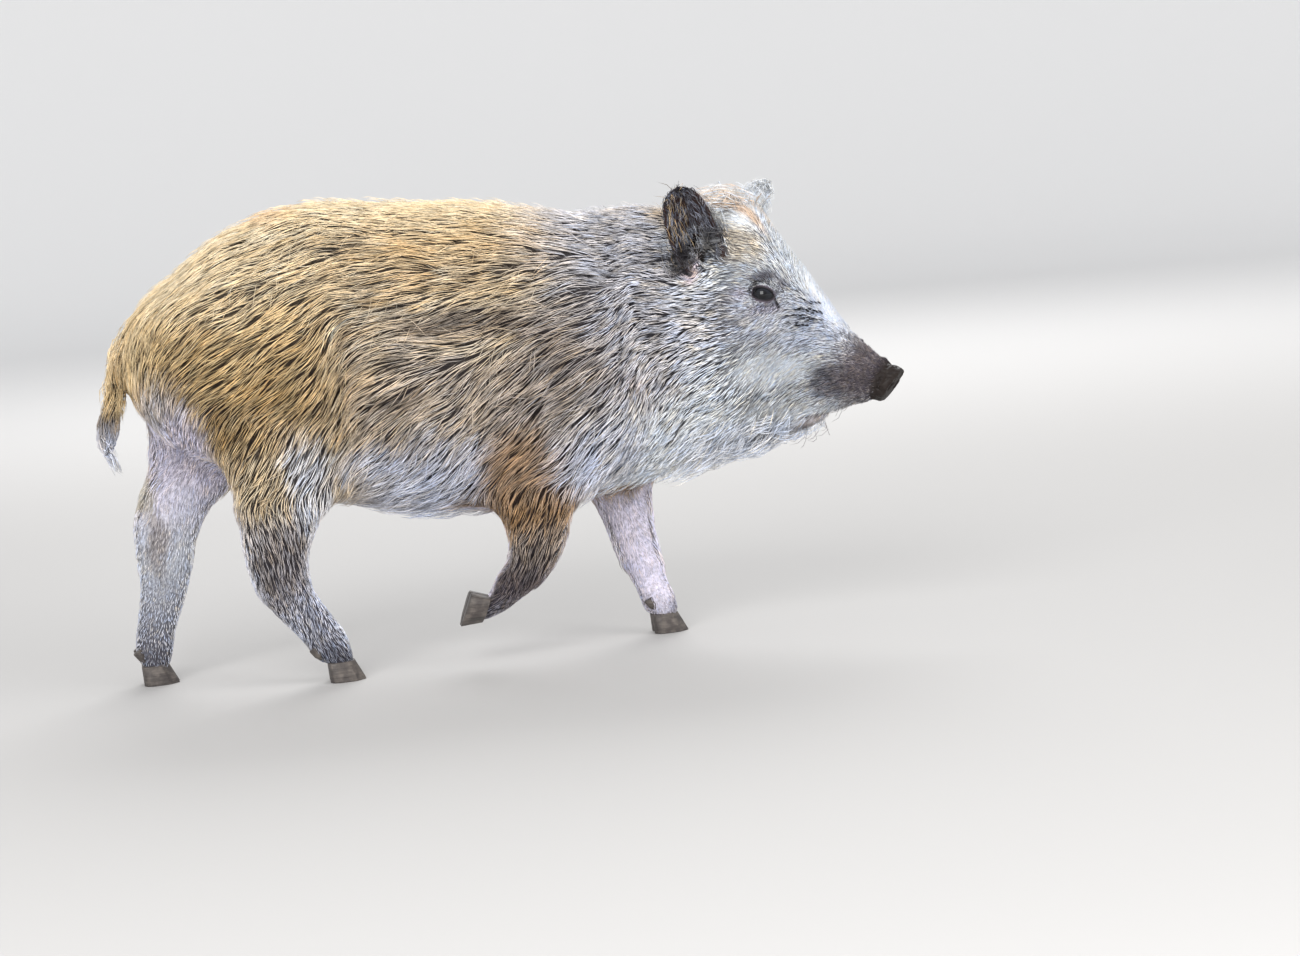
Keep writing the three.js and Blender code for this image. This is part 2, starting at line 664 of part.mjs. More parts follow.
/** One claw in the foot's own frame: sole at height 0, toe toward +X. `side` is 1 for the left claw. */
function clawGeometry(side) {
  const { sole, width, height, cleft, topLength, topShift } = HOOF;
  const outline = new THREE.Shape();
  outline.moveTo(-sole / 2 + 3, 0);
  outline.quadraticCurveTo(-sole / 2, 0.12 * width, -sole / 2, 0.5 * width);
  outline.quadraticCurveTo(-sole / 2 + 1, width, -sole / 4, width);
  outline.quadraticCurveTo(sole / 3, 1.02 * width, sole / 2, 0.22 * width);
  outline.quadraticCurveTo(sole / 2, 0, sole / 3, 0);
  outline.closePath();
  const upright = { depth: height, steps: 2, curveSegments: 2, bevelEnabled: false };
  const claw = new THREE.ExtrudeGeometry(outline, upright);
  const at = claw.attributes.position;
  for (let i = 0; i < at.count; i++) {
    const up = at.getZ(i) / height;
    const long = THREE.MathUtils.lerp(1, topLength / sole, up);
    at.setX(i, at.getX(i) * long + topShift * up);
    at.setY(i, side * (at.getY(i) * (1 - 0.06 * up) + cleft / 2));
  }
  if (side < 0) flip(claw);
  return claw;
}

/** Turns the faces of a mirrored geometry out again. */
function flip(geometry) {
  const at = geometry.attributes.position;
  for (let i = 0; i < at.count; i += 3) {
    const first = [at.getX(i), at.getY(i), at.getZ(i)];
    at.setXYZ(i, at.getX(i + 1), at.getY(i + 1), at.getZ(i + 1));
    at.setXYZ(i + 1, ...first);
  }
}

/** A dewclaw behind the pastern, in the foot's own frame. */
function dewclawGeometry(side) {
  const { length, radius, spread, behind: back, height, droop } = DEWCLAW;
  const profile = [new THREE.Vector2(0, 0)];
  for (const t of [0, 0.5, 1]) profile.push(new THREE.Vector2(radius * Math.sqrt(1 - t * t), t * length));
  const claw = new THREE.LatheGeometry(profile, 6);
  claw.rotateX(-Math.PI / 2);
  claw.rotateY(-droop);
  claw.translate(-back, side * spread, height);
  return claw;
}

/**
 * Each foot: where its sole's centre lies, how far it is turned toe down, and how much further back its
 * dewclaws sit, where the pastern leans forward.
 */
const feet = {
  foreleg_left: { at: v(LEFT_FORE_FOOT.x, LEFT_FORE_FOOT.y, 0), turn: 0 },
  foreleg_right: { at: v(LIFTED_FOOT.x, LIFTED_FOOT.y, LIFTED_FOOT.z), turn: LIFTED_TURN },
  hindleg_left: { at: v(LEFT_HIND_FOOT.x, LEFT_HIND_FOOT.y, 0), turn: 0 },
  hindleg_right: { at: v(RIGHT_HIND_FOOT.x, RIGHT_HIND_FOOT.y, 0), turn: 0, dewclawBack: 10 },
};

function toFoot(geometry, { at, turn }) {
  const placed = geometry.clone();
  placed.rotateY(turn);
  placed.translate(at.x, at.y, at.z);
  return placed;
}

// ---- Snout disc ---------------------------------------------------------------------------------------

function discGeometry() {
  const { halfHeight, halfWidth, thick, bevel } = DISC;
  const rim = new THREE.Shape();
  rim.absellipse(0, 0, halfWidth - bevel, halfHeight - bevel, 0, 2 * Math.PI);
  for (const side of [-1, 1]) {
    const nostril = new THREE.Path();
    const { aside, up, halfAcross, halfTall, lean } = NOSTRIL;
    nostril.absellipse(side * aside, up, halfAcross, halfTall, 0, 2 * Math.PI, true, side * lean);
    rim.holes.push(nostril);
  }
  const disc = new THREE.ExtrudeGeometry(rim, {
    depth: thick - 2 * bevel,
    bevelSize: bevel,
    bevelThickness: bevel,
    bevelSegments: 2,
    curveSegments: 5,
  });
  disc.translate(0, 0, bevel - thick);
  disc.applyMatrix4(new THREE.Matrix4().makeBasis(
    headLeft,
    new THREE.Vector3().crossVectors(discOut, headLeft),
    discOut,
  ));
  disc.translate(discCentre.x, discCentre.y, discCentre.z);
  return disc;
}

// ---- The model ----------------------------------------------------------------------------------------

const coat = { roughness: 0.9, metalness: 0 };
const horny = { roughness: 0.6, metalness: 0 };
const damp = { roughness: 0.5, metalness: 0 };
const glossy = { roughness: 0.1, metalness: 0 };
const COLOURS = {
  back: 0xb08d5c, neck: 0x96897a, head: 0xb3aba0, muzzle: 0x5a4b44, leg: 0x8b8078, pale: 0xb9aeb0,
  ear: 0x4c423a, tail: 0x9a8a5e, horn: 0x3a332e, eye: 0x0f1216, disc: 0x2c211d,
};

function coloured(name) {
  if (name.startsWith("ear")) return COLOURS.ear;
  if (/^(fore|hind)leg_left/.test(name)) return COLOURS.pale;
  if (/^(fore|hind)leg_right/.test(name)) return COLOURS.leg;
  if (name.startsWith("tail")) return COLOURS.tail;
  if (name === "jaw" || name === "head") return COLOURS.head;
  return name === "neck" ? COLOURS.neck : COLOURS.back;
}

const boar = new THREE.Group();

function addPiece(name, geometry, colour, finish = coat) {
  const mesh = new THREE.Mesh(geometry, new THREE.MeshStandardMaterial({ color: colour, ...finish }));
  mesh.name = name;
  boar.add(mesh);
}

// What sits in the flesh, as grown solids that leave the gap round each piece.
const inserts = [];
function insert(name, geometry, colour, finish) {
  addPiece(name, geometry, colour, finish);
  const block = solid(grown(geometry, SOCKET_GAP));
  inserts.push({ block, box: block.boundingBox() });
}

for (const [name, ear] of Object.entries(ears)) insert(name, earGeometry(ear), COLOURS.ear);

for (const [name, side] of [["eye_left", 1], ["eye_right", -1]]) {
  const at = inHead(EYE_PLACE.along, side * EYE_PLACE.aside, EYE_PLACE.height);
  const ball = new THREE.SphereGeometry(EYE_RADIUS, 12, 8).translate(at.x, at.y, at.z);
  insert(name, ball, COLOURS.eye, glossy);
}

for (const [leg, foot] of Object.entries(feet)) {
  for (const [word, side] of [["left", 1], ["right", -1]]) {
    addPiece(`${leg}_hoof_${word}`, toFoot(clawGeometry(side), foot), COLOURS.horn, horny);
    const dewclaw = dewclawGeometry(side).translate(-(foot.dewclawBack ?? 0), 0, 0);
    insert(`${leg}_dewclaw_${word}`, toFoot(dewclaw, foot), COLOURS.horn, horny);
  }
}

insert("tail", sweepMesh(tailForm, TAIL_SIDES), COLOURS.tail);

addPiece("snout_disc", discGeometry(), COLOURS.disc, damp);

const taken = [];
for (const [name, region] of Object.entries(regions)) {
  const whole = region.leg ? sweepMesh(region.leg, LEG_SIDES) : meshForm(body, region.box, region.cell);
  let piece = solid(whole).intersect(regionBlock(region, 0));
  for (const earlier of taken) {
    if (earlier.box.intersectsBox(region.box)) piece = piece.subtract(earlier.block);
  }
  for (const { block, box } of inserts) {
    if (region.box.intersectsBox(new THREE.Box3(v(...box.min), v(...box.max)))) piece = piece.subtract(block);
  }
  addPiece(name, geometryOf(piece), coloured(name));
  taken.push({ block: regionBlock(region, GAP), box: region.box });
}

// The origin is the middle of the outline's floor plan, at the soles.
const outline = new THREE.Box3().setFromObject(boar);
boar.position.set(-(outline.min.x + outline.max.x) / 2, -(outline.min.y + outline.max.y) / 2, -outline.min.z);

export default boar;
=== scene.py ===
import math

import bmesh
import bpy
import numpy as np
from mathutils import Matrix, Vector
from mathutils.bvhtree import BVHTree
from mathutils.kdtree import KDTree
from mathutils.noise import turbulence


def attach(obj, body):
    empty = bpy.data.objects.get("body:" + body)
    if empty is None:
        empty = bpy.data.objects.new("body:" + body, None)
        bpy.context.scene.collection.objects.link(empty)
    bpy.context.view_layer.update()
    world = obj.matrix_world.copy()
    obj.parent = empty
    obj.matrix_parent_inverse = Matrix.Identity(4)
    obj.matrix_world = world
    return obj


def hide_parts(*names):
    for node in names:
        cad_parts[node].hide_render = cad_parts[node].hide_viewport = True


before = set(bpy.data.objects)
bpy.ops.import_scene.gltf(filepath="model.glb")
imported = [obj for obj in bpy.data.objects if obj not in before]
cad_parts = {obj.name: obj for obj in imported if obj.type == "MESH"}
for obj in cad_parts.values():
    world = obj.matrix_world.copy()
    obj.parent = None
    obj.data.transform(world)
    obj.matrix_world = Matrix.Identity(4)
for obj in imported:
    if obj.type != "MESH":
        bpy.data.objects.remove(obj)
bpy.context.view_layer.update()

# The camera stands low beside the boar's right flank, a little behind it, and is held slightly turned
# about its own line of sight, so that the ground falls away to the left.
VIEW_ROUND, VIEW_DOWN, VIEW_ROLL = map(math.radians, (7.0, 7.0, 5.0))
VIEW_TARGET = Vector((0.146495, 0.012278, 0.1612))
VIEW_DISTANCE = 4.0
LENS_MM, SENSOR_MM = 110.77, 36.0


def placed(name, data):
    """A new object of the scene, at the origin."""
    thing = bpy.data.objects.new(name, data)
    bpy.context.scene.collection.objects.link(thing)
    return thing


sight = Vector((
    math.sin(VIEW_ROUND) * math.cos(VIEW_DOWN),
    math.cos(VIEW_ROUND) * math.cos(VIEW_DOWN),
    -math.sin(VIEW_DOWN),
))
level_right = Vector((math.cos(VIEW_ROUND), -math.sin(VIEW_ROUND), 0))
level_up = level_right.cross(sight)
view_right = level_right * math.cos(VIEW_ROLL) - level_up * math.sin(VIEW_ROLL)
view_up = level_up * math.cos(VIEW_ROLL) + level_right * math.sin(VIEW_ROLL)
camera = placed("camera", bpy.data.cameras.new("camera"))
camera.data.lens, camera.data.sensor_width = LENS_MM, SENSOR_MM
camera.matrix_world = Matrix.Translation(VIEW_TARGET - sight * VIEW_DISTANCE) @ Matrix(
    (view_right, view_up, -sight)
).transposed().to_4x4()
bpy.context.scene.camera = camera

# The skin is one tight hide over the whole animal, from the lips to the coronets and the tail's tip. It is
# cast over the solid parts as one net, drawn in by the coat's depth, and worked finer round eyes and mouth.
MM = 0.001
ORIGIN = np.array([146.495, 12.278, 0.0])  # the point under the withers that places start from, in mm
HEAD_YAW = math.radians(27)
HEAD_ROOT = np.array([40.0, -8.0, 0.0])
HEAD_FORWARD = np.array([math.cos(HEAD_YAW), -math.sin(HEAD_YAW), 0])
HEAD_LEFT = np.array([math.sin(HEAD_YAW), math.cos(HEAD_YAW), 0])
UP = np.array([0.0, 0.0, 1.0])
FOOT_TURN = math.radians(112)  # how far the lifted right forefoot is folded back
LIFTED_SOLE = np.array([-math.sin(FOOT_TURN), 0, -math.cos(FOOT_TURN)])
NET_STEP = 3.5  # mesh width of the net where nothing is magnified
HEAD_CENTRE = np.array([132.0, -58.0, 320.0])
HEAD_REACH, HEAD_MAGNIFIED = 155.0, 1.85
QUICK_SIZE, QUICK_RISE = 0.78, 4.0  # the quick inside a claw, which joins it to the foot
EAR_SWELL = 0.9
EASE_ELSEWHERE = 0.5
EASE = {"ear": 0.10, "disc": 0.12, "tail": 0.1, "pastern": 0.10, "cannon": 0.14, "shank": 0.3, "upper": 0.35,
        "jaw": 0.2, "head": 0.3, "thigh": 0.45}  # how strongly each part's cast is smoothed
CAST_ROUNDS, DRAWN_IN_ROUNDS = 38, 4


def unit(v):
    return v / np.maximum(np.linalg.norm(v, axis=-1, keepdims=True), 1e-9)


def dot(a, b):
    return np.einsum("ij,ij->i", a, np.broadcast_to(b, a.shape))


def smooth(x, low=0.0, high=1.0):
    """0 below low and 1 above high, with a soft step between."""
    t = np.clip((x - low) / (high - low), 0, 1)
    return t * t * (3 - 2 * t)


def fade(x, low, high):
    """1 below low and 0 above high, with a soft step between."""
    return smooth(-x, -high, -low)


def in_head(along, aside, height):
    return HEAD_ROOT + along * HEAD_FORWARD + aside * HEAD_LEFT + height * UP


def from_head(points):
    """Each point's way along the head, aside from its middle to the left, and its height."""
    out = points - HEAD_ROOT
    return out @ HEAD_FORWARD, out @ HEAD_LEFT, points[:, 2]


def face_ways(corners, faces):
    """Each triangle's way out, as long as twice its area."""
    a, b, c = (corners[faces[:, k]] for k in range(3))
    return np.cross(b - a, c - a)


def outward(corners, faces):
    """The way out of a surface of triangles at each of its corners."""
    ways = face_ways(corners, faces).T
    sums = [np.bincount(faces.ravel(), np.repeat(column, 3), len(corners)) for column in ways]
    return unit(np.stack(sums, 1))


def read(mesh, sides=3):
    """Corners, in mm from ORIGIN, and faces of a mesh."""
    corners = np.empty(len(mesh.vertices) * 3)
    mesh.vertices.foreach_get("co", corners)
    faces = np.empty(len(mesh.loops), int)
    mesh.loops.foreach_get("vertex_index", faces)
    return corners.reshape(-1, 3) / MM - ORIGIN, faces.reshape(-1, sides)


def mesh_of(name, corners, faces):
    """A smooth-shaded mesh in metres from corners in mm and triangles or quads."""
    mesh = bpy.data.meshes.new(name)
    mesh.vertices.add(len(corners))
    mesh.vertices.foreach_set("co", ((corners + ORIGIN) * MM).astype(np.float32).ravel())
    mesh.loops.add(faces.size)
    mesh.loops.foreach_set("vertex_index", faces.astype(np.int32).ravel())
    mesh.polygons.add(len(faces))
    mesh.polygons.foreach_set("loop_start", np.arange(0, faces.size, faces.shape[1], dtype=np.int32))
    mesh.polygons.foreach_set("use_smooth", np.full(len(faces), True))
    mesh.update(calc_edges=True)
    return mesh


def together(shapes):
    """The corners and faces of many shapes as those of one."""
    starts = np.cumsum([0] + [len(corners) for corners, faces in shapes[:-1]])
    return (np.concatenate([corners for corners, faces in shapes]),
            np.concatenate([faces + start for (corners, faces), start in zip(shapes, starts)]))


def swollen(corners, faces, by):
    """The same solid with every corner moved out by so many mm, so that a thin edge survives the casting."""
    spots, merged = np.unique(np.round(corners, 2), axis=0, return_inverse=True)
    merged = merged.ravel()[faces]
    return spots + outward(spots, merged) * by, merged


def magnified(points, back=False):
    """The points with the space round the head blown up, or put back, for a finer net there."""
    out = points - HEAD_CENTRE
    far = np.linalg.norm(out, axis=1, keepdims=True)
    pushed = HEAD_REACH * (HEAD_MAGNIFIED - 1)
    if back:
        new = np.where(far < HEAD_REACH * HEAD_MAGNIFIED, far / HEAD_MAGNIFIED, far - pushed)
    else:
        new = np.where(far < HEAD_REACH, far * HEAD_MAGNIFIED, far + pushed)
    return HEAD_CENTRE + out * new / np.maximum(far, 1e-9)


class Net:
    """A net of corners and the edges between them, with means over each corner's neighbours."""

    def __init__(self, faces, count):
        ends = np.stack([faces, np.roll(faces, -1, 1)], 2).reshape(-1, 2)
        ends = np.unique(np.sort(ends, 1), axis=0)
        self.a = np.concatenate([ends[:, 0], ends[:, 1]])
        self.b = np.concatenate([ends[:, 1], ends[:, 0]])
        self.count = count
        self.degree = np.maximum(np.bincount(self.a, minlength=count), 1)[:, None]

    def mean(self, values):
        sums = [np.bincount(self.a, column, self.count) for column in values[self.b].T]
        return np.stack(sums, 1) / self.degree

    def relaxed(self, values, rounds, share=0.5):
        flat = values.ndim == 1
        values = values.reshape(len(values), -1).astype(float)
        for _ in range(rounds):
            values = values + (self.mean(values) - values) * share
        return values[:, 0] if flat else values

    def pieces(self):
        """A label for each corner, the same for all that hang together."""
        label = np.arange(self.count)
        while True:
            least = label.copy()
            np.minimum.at(least, self.a, label[self.b])
            least = least[least]
            if (least == label).all():
                return label
            label = least


solids = {name: read(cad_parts[name].data) for name in sorted(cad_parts)}
claws = [name for name in solids if "claw" in name or "hoof" in name]
flesh = [name for name in solids if name not in claws and not name.startswith("eye")]
centres = {name: corners.mean(0) for name, (corners, faces) in solids.items()}

shapes = []
for name, (corners, faces) in solids.items():
    if "hoof" in name:
        off_sole = -LIFTED_SOLE if "foreleg_right" in name else UP
        corners = centres[name] + (corners - centres[name]) * QUICK_SIZE + off_sole * QUICK_RISE
    if name.startswith("ear"):
        corners, faces = swollen(corners, faces, EAR_SWELL)
    shapes.append((corners, faces))
corners, faces = together(shapes)
cast = placed("cast", mesh_of("cast", magnified(corners), faces))
wrap = cast.modifiers.new("wrap", "REMESH")
wrap.mode, wrap.voxel_size = "VOXEL", NET_STEP * MM
places, quads = read(cast.evaluated_get(bpy.context.evaluated_depsgraph_get()).to_mesh(), 4)
places = magnified(places, back=True)
bpy.data.objects.remove(cast)
label = Net(quads, len(places)).pieces()
kept = label == np.bincount(label).argmax()
places, quads = places[kept], (np.cumsum(kept) - 1)[quads[kept[quads[:, 0]]]]

# Which solid part each corner of the net lies on
flesh_corners, flesh_faces = together([solids[name] for name in flesh])
flesh_tree = BVHTree.FromPolygons(flesh_corners.tolist(), flesh_faces.tolist())
face_part = np.repeat(np.arange(len(flesh)), [len(solids[name][1]) for name in flesh])


def part_at(points):
    return np.array([face_part[flesh_tree.find_nearest(p)[2]] for p in points.tolist()])


def each(values, default=0):
    """Each corner's value, by the first of the words that its part's name holds."""
    return np.array([next((v for word, v in values.items() if word in name), default) for name in flesh],
                    float)[part]


def among(*words):
    """1 at the corners whose part's name holds one of the words, and 0 at the others."""
    return each(dict.fromkeys(words, 1))


part = part_at(places)
net = Net(quads, len(places))
places = net.relaxed(places, CAST_ROUNDS, net.relaxed(each(EASE, EASE_ELSEWHERE), 12)[:, None])

# Finer net where the face needs it, in two passes
SIDES = {"right": -1, "left": 1}  # which way each side lies from the middle
EYE_PLACE = {side: in_head(106, 42.4 * sign, 341) for side, sign in SIDES.items()}
EYE_RADIUS = 11.5
DISC_PLACE = in_head(217.5, 0, 239.5)
LIP_BACK, LIP_FRONT = 100, 212  # along the head
LIP_MIDDLE, LIP_HEIGHT, LIP_SLOPE = 138, 217, 0.17
FINER_REACHES = ((25, 4.5, 27), (19, 0, 0))  # from the eyes, from the mouth's line and from the disc


def lip_line(along):
    return LIP_HEIGHT + LIP_SLOPE * (along - LIP_MIDDLE)


def gap_to(points, *spots):
    """Each point's distance from the nearest of the spots."""
    return np.min([np.linalg.norm(points - spot, axis=1) for spot in spots], 0)


def wants_finer(points, eye_reach, lip_reach, disc_reach):
    along, aside, height = from_head(points)
    near_lip = (abs(height - lip_line(along)) < lip_reach) & (along > LIP_BACK) & (along < LIP_FRONT)
    near_eye = gap_to(points, *EYE_PLACE.values()) < eye_reach
    return near_eye | near_lip | (gap_to(points, DISC_PLACE) < disc_reach)


work = bmesh.new()
work.from_mesh(mesh_of("hide", places, quads))
for reaches in FINER_REACHES:
    work.verts.ensure_lookup_table()
    finer = wants_finer(np.array([v.co for v in work.verts]) / MM - ORIGIN, *reaches)
    edges = [e for e in work.edges if finer[e.verts[0].index] and finer[e.verts[1].index]]
    bmesh.ops.subdivide_edges(work, edges=edges, cuts=1, use_grid_fill=True)
    work.verts.index_update()
bmesh.ops.triangulate(work, faces=work.faces[:])
places = np.array([v.co for v in work.verts]) / MM - ORIGIN
triangles = np.array([[v.index for v in f.verts] for f in work.faces])
work.free()
net = Net(triangles, len(places))
part = part_at(places)
finer = wants_finer(places, *FINER_REACHES[0])
places = net.relaxed(places, 3, 0.5 * finer[:, None].astype(float))

# Depth of the coat over the skin, which is how far the skin lies inside the solids
DEPTH = {"ear": 1.8, "disc": 0.4, "tail": 3.0, "pastern": 2.0, "cannon": 2.6, "shank": 5.0, "upper": 6.0,
         "thigh": 8.5, "jaw": 5.0, "neck": 12.0, "rump": 10.0, "trunk": 11.0}
FACE_DEPTH, NAPE_DEEPER, JOWL_DEEPER, MUZZLE_THINNER = 5.0, 6.5, 2.5, 0.65
AT_EYE, OFF_EYE = 0.45, 0.55  # shares of the depth at the lids, and won back away from them
along, aside, height = from_head(places)
eye_gap = gap_to(places, *EYE_PLACE.values())
face_depth = FACE_DEPTH + NAPE_DEEPER * fade(along, 15, 85)
face_depth += JOWL_DEEPER * fade(height, 250, 300) * fade(along, 110, 150) * smooth(along, 15, 85)
face_depth *= 1 - MUZZLE_THINNER * smooth(along, 130, 185)
face_depth *= AT_EYE + OFF_EYE * smooth(eye_gap, 14, 34)
depth = net.relaxed(np.where(among("head") > 0, face_depth, each(DEPTH)), 40)
places = places - outward(places, triangles) * depth[:, None]
places = net.relaxed(places, DRAWN_IN_ROUNDS, net.relaxed(each(EASE, EASE_ELSEWHERE), 12)[:, None])

# Lids: two folds of bare skin over each eyeball, which leave an almond open. Its front corner is drawn down
# into the tear duct. The hide is pushed in or out along the lines from the eyeball's middle.
LID_HALF_WIDTH, LID_ABOVE, LID_BELOW = map(math.radians, (66, 30, 26))
LID_THICK, LID_REACH, LID_FADES = 1.15, 27, (19, 26)
ARCH_FLAT, ARCH_ROUND = 2.2, 0.75
LID_PART = 2.5  # skin further than this outside the eyeball isn't lid
EYE_LEANS = 0.22, 0.12, 0.27  # of the gaze forward and up, and of the opening's front corner down
DUCT_START, DUCT_RUN, DUCT_DROP, DUCT_DEEP = 11, 7, 9, 1.1
FOLDS = ((True, 4.6, 0.75), (False, 5.2, 0.5))  # upper or lower lid, way from its edge, depth
FOLD_HALF_WIDTH = 0.6
RIM_AT, RIM_HALF_WIDTH, RIM_RISE = 0.9, 0.7, 0.25
THINS_FROM, THINS_BY = 5.5, 0.55
SOCKET_BLEND, SOCKET_SHARE, BEHIND_LID = 1.2, 0.35, 2.6


def ridge(x, middle, half_width):
    return np.exp(-(((x - middle) / half_width) ** 2))


lid_gap = np.full(len(places), 50.0)  # from the lids' edges, and less than nothing inside the opening
tear = np.zeros(len(places))
for side, centre in EYE_PLACE.items():
    out_axis = unit(HEAD_LEFT * SIDES[side] + HEAD_FORWARD * EYE_LEANS[0] + UP * EYE_LEANS[1])
    slant = HEAD_FORWARD - UP * EYE_LEANS[2]
    fore_axis = unit(slant - out_axis * (slant @ out_axis))
    top_axis = np.cross(out_axis, fore_axis)
    top_axis *= np.sign(top_axis[2])
    rel = places - centre
    far = np.linalg.norm(rel, axis=1)
    out, fore, up = rel @ out_axis, rel @ fore_axis, rel @ top_axis
    near = (far < LID_REACH) & (out > -2)
    turn, lift = np.arctan2(fore, out), np.arctan2(up, np.hypot(out, fore))
    across = np.clip(abs(turn / LID_HALF_WIDTH), 0, 1)
    arch = (1 - across**ARCH_FLAT) ** ARCH_ROUND
    opening = np.where(lift > 0, LID_ABOVE * arch, LID_BELOW * arch)
    past_corner = np.maximum(abs(turn) - LID_HALF_WIDTH, 0)
    inside = np.maximum(opening - abs(lift), 0) * (past_corner == 0)
    edge = (np.hypot(np.maximum(abs(lift) - opening, 0), past_corner) - inside) * EYE_RADIUS
    from_lid = edge + np.maximum(far - EYE_RADIUS - LID_PART, 0)
    lid_gap = np.where(near, np.minimum(lid_gap, from_lid), lid_gap)
    down_duct = ((fore - DUCT_START) * DUCT_RUN - up * DUCT_DROP) / (DUCT_RUN**2 + DUCT_DROP**2)
    down_duct = np.clip(down_duct, 0, 1)
    off_duct = np.hypot(fore - DUCT_START - DUCT_RUN * down_duct, up + DUCT_DROP * down_duct)
    tear = np.maximum(tear, fade(off_duct, 0.9, 2.2) * near)
    shell = EYE_RADIUS + LID_THICK - THINS_BY * np.maximum(edge - THINS_FROM, 0)
    for upper, fold_at, fold_deep in FOLDS:
        fold = fold_deep * ridge(edge, fold_at, FOLD_HALF_WIDTH) * ((lift > 0) == upper)
        shell -= fold * fade(across, 0.4, 1)
    shell += RIM_RISE * ridge(edge, RIM_AT, RIM_HALF_WIDTH)
    outer = np.maximum(shell, far) + SOCKET_BLEND * np.exp(-abs(shell - far) / SOCKET_BLEND) * SOCKET_SHARE
    outer = np.where(edge < 6, shell + (outer - shell) * smooth(edge, 3, 6), outer)
    inner = EYE_RADIUS - BEHIND_LID
    wanted = inner + (outer - inner) * smooth(edge, -0.75, 0.15)
    wanted = far + (wanted - far) * fade(far, *LID_FADES)
    places = np.where(near[:, None], centre + rel * (wanted / far)[:, None], places)
places = places - outward(places, triangles) * (DUCT_DEEP * tear)[:, None]

# Lips: two soft rolls of skin, shut, with the mouth's line as a groove between them. They run from below the
# eye to the disc of the snout.
LIP_FORM = ((0, 0.9, -2.6), (3.2, 2.0, 0.7), (-3.0, 1.8, 0.6))  # above the line, half width, rise
normals = outward(places, triangles)
along, aside, height = from_head(places)
off_line = height - lip_line(along)
lip_zone = smooth(along, 103, 116) * fade(along, 204, 214) * (abs(off_line) < 14) * (1 - among("disc"))
groove = sum(rise * ridge(off_line, at, half_width) for at, half_width, rise in LIP_FORM)
places = places + normals * (groove * lip_zone)[:, None]

# Mud dried on the muzzle, in crumbs and folds, and small creases in the skin of the disc behind its rim
MUD_CRUMB, MUD_HEIGHT, MUD_OFF_DISC = 8.0, 4.5, 0.7
normals = outward(places, triangles)
along, aside, height = from_head(places)
mud_share = smooth(along, 158, 180) * smooth(height, 222, 236) * (1 - MUD_OFF_DISC * among("disc"))
muddy = np.flatnonzero(mud_share > 0)
crumbs = np.zeros(len(places))
crumbs[muddy] = [turbulence(Vector(p) / MUD_CRUMB, 3, True) for p in places[muddy].tolist()]
places = places + normals * (MUD_HEIGHT * (crumbs - crumbs[muddy].mean()) * mud_share)[:, None]

# Nostrils: two leaning hollows in the disc of gristle that a boar digs with
NOSTRIL_ASIDE, NOSTRIL_UP, NOSTRIL_LEAN, NOSTRIL_DEEP = 9.3, 1.0, 0.5, 6.5
NOSTRIL_HALF_ACROSS, NOSTRIL_HALF_TALL = 4.4, 6.0
DISC_TILT, DISC_REACH = math.radians(37.5), 9
disc_out = HEAD_FORWARD * math.cos(DISC_TILT) - UP * math.sin(DISC_TILT)
out = places - DISC_PLACE
nostril = np.zeros(len(places))
for sign in SIDES.values():
    a, b = out @ HEAD_LEFT - sign * NOSTRIL_ASIDE, out @ np.cross(disc_out, HEAD_LEFT) - NOSTRIL_UP
    lean_cos, lean_sin = math.cos(sign * NOSTRIL_LEAN), math.sin(sign * NOSTRIL_LEAN)
    gap = np.hypot((a * lean_cos + b * lean_sin) / NOSTRIL_HALF_ACROSS,
                   (b * lean_cos - a * lean_sin) / NOSTRIL_HALF_TALL)
    nostril = np.maximum(nostril, fade(gap, 0.6, 1.1) * (abs(out @ disc_out) < DISC_REACH))
places = places - disc_out * (NOSTRIL_DEEP * nostril)[:, None]

# Markings: tan back with the last of the stripes, grizzled neck, pale face, dark snout. They are soft patches
# laid over the body by place, and both the skin and every hair take their colour from them. A few patches on
# the
# head are painted shade instead: dark arcs over the eyes and a dark spot at each ear's base.
def shade(red, green, blue):
    """A colour of the screen as amounts of light."""
    value = np.array([red, green, blue]) / 255
    return np.where(value > 0.04045, ((value + 0.055) / 1.055) ** 2.4, value / 12.92)


CREAM, TAN, STRAW = shade(250, 229, 192), shade(240, 211, 166), shade(219, 192, 145)
OCHRE, RUST, FLANK = shade(188, 160, 114), shade(224, 162, 102), shade(220, 202, 174)
FADED, STRIPE, SHOULDER = shade(204, 190, 174), shade(138, 124, 110), shade(172, 160, 150)
SILVER, FROST, WHITE = shade(214, 216, 228), shade(238, 242, 252), shade(246, 250, 255)
GRIZZLE, SLATE, SOOT = shade(202, 200, 204), shade(112, 114, 124), shade(46, 42, 46)
LILAC, MUD, WET_SNOUT = shade(246, 240, 255), shade(116, 106, 106), shade(28, 21, 18)
# The last colour on the next line is the dark cool colour of the skin and of the short hairs among the long
# ones: partly their own dark colour, partly painted shade of the gaps between the hairs.
ASH, BROW_RECESS_SHADE, UNDERCOAT_AND_GAP_SHADE = shade(206, 208, 221), shade(84, 82, 92), shade(92, 84, 106)
UMBER, SMOKE, EARTH = shade(174, 140, 100), shade(88, 88, 98), shade(146, 132, 120)
LID_SKIN, LIP_SKIN, CUP_SKIN = shade(96, 88, 98), shade(84, 66, 64) * 0.7, shade(50, 36, 35)

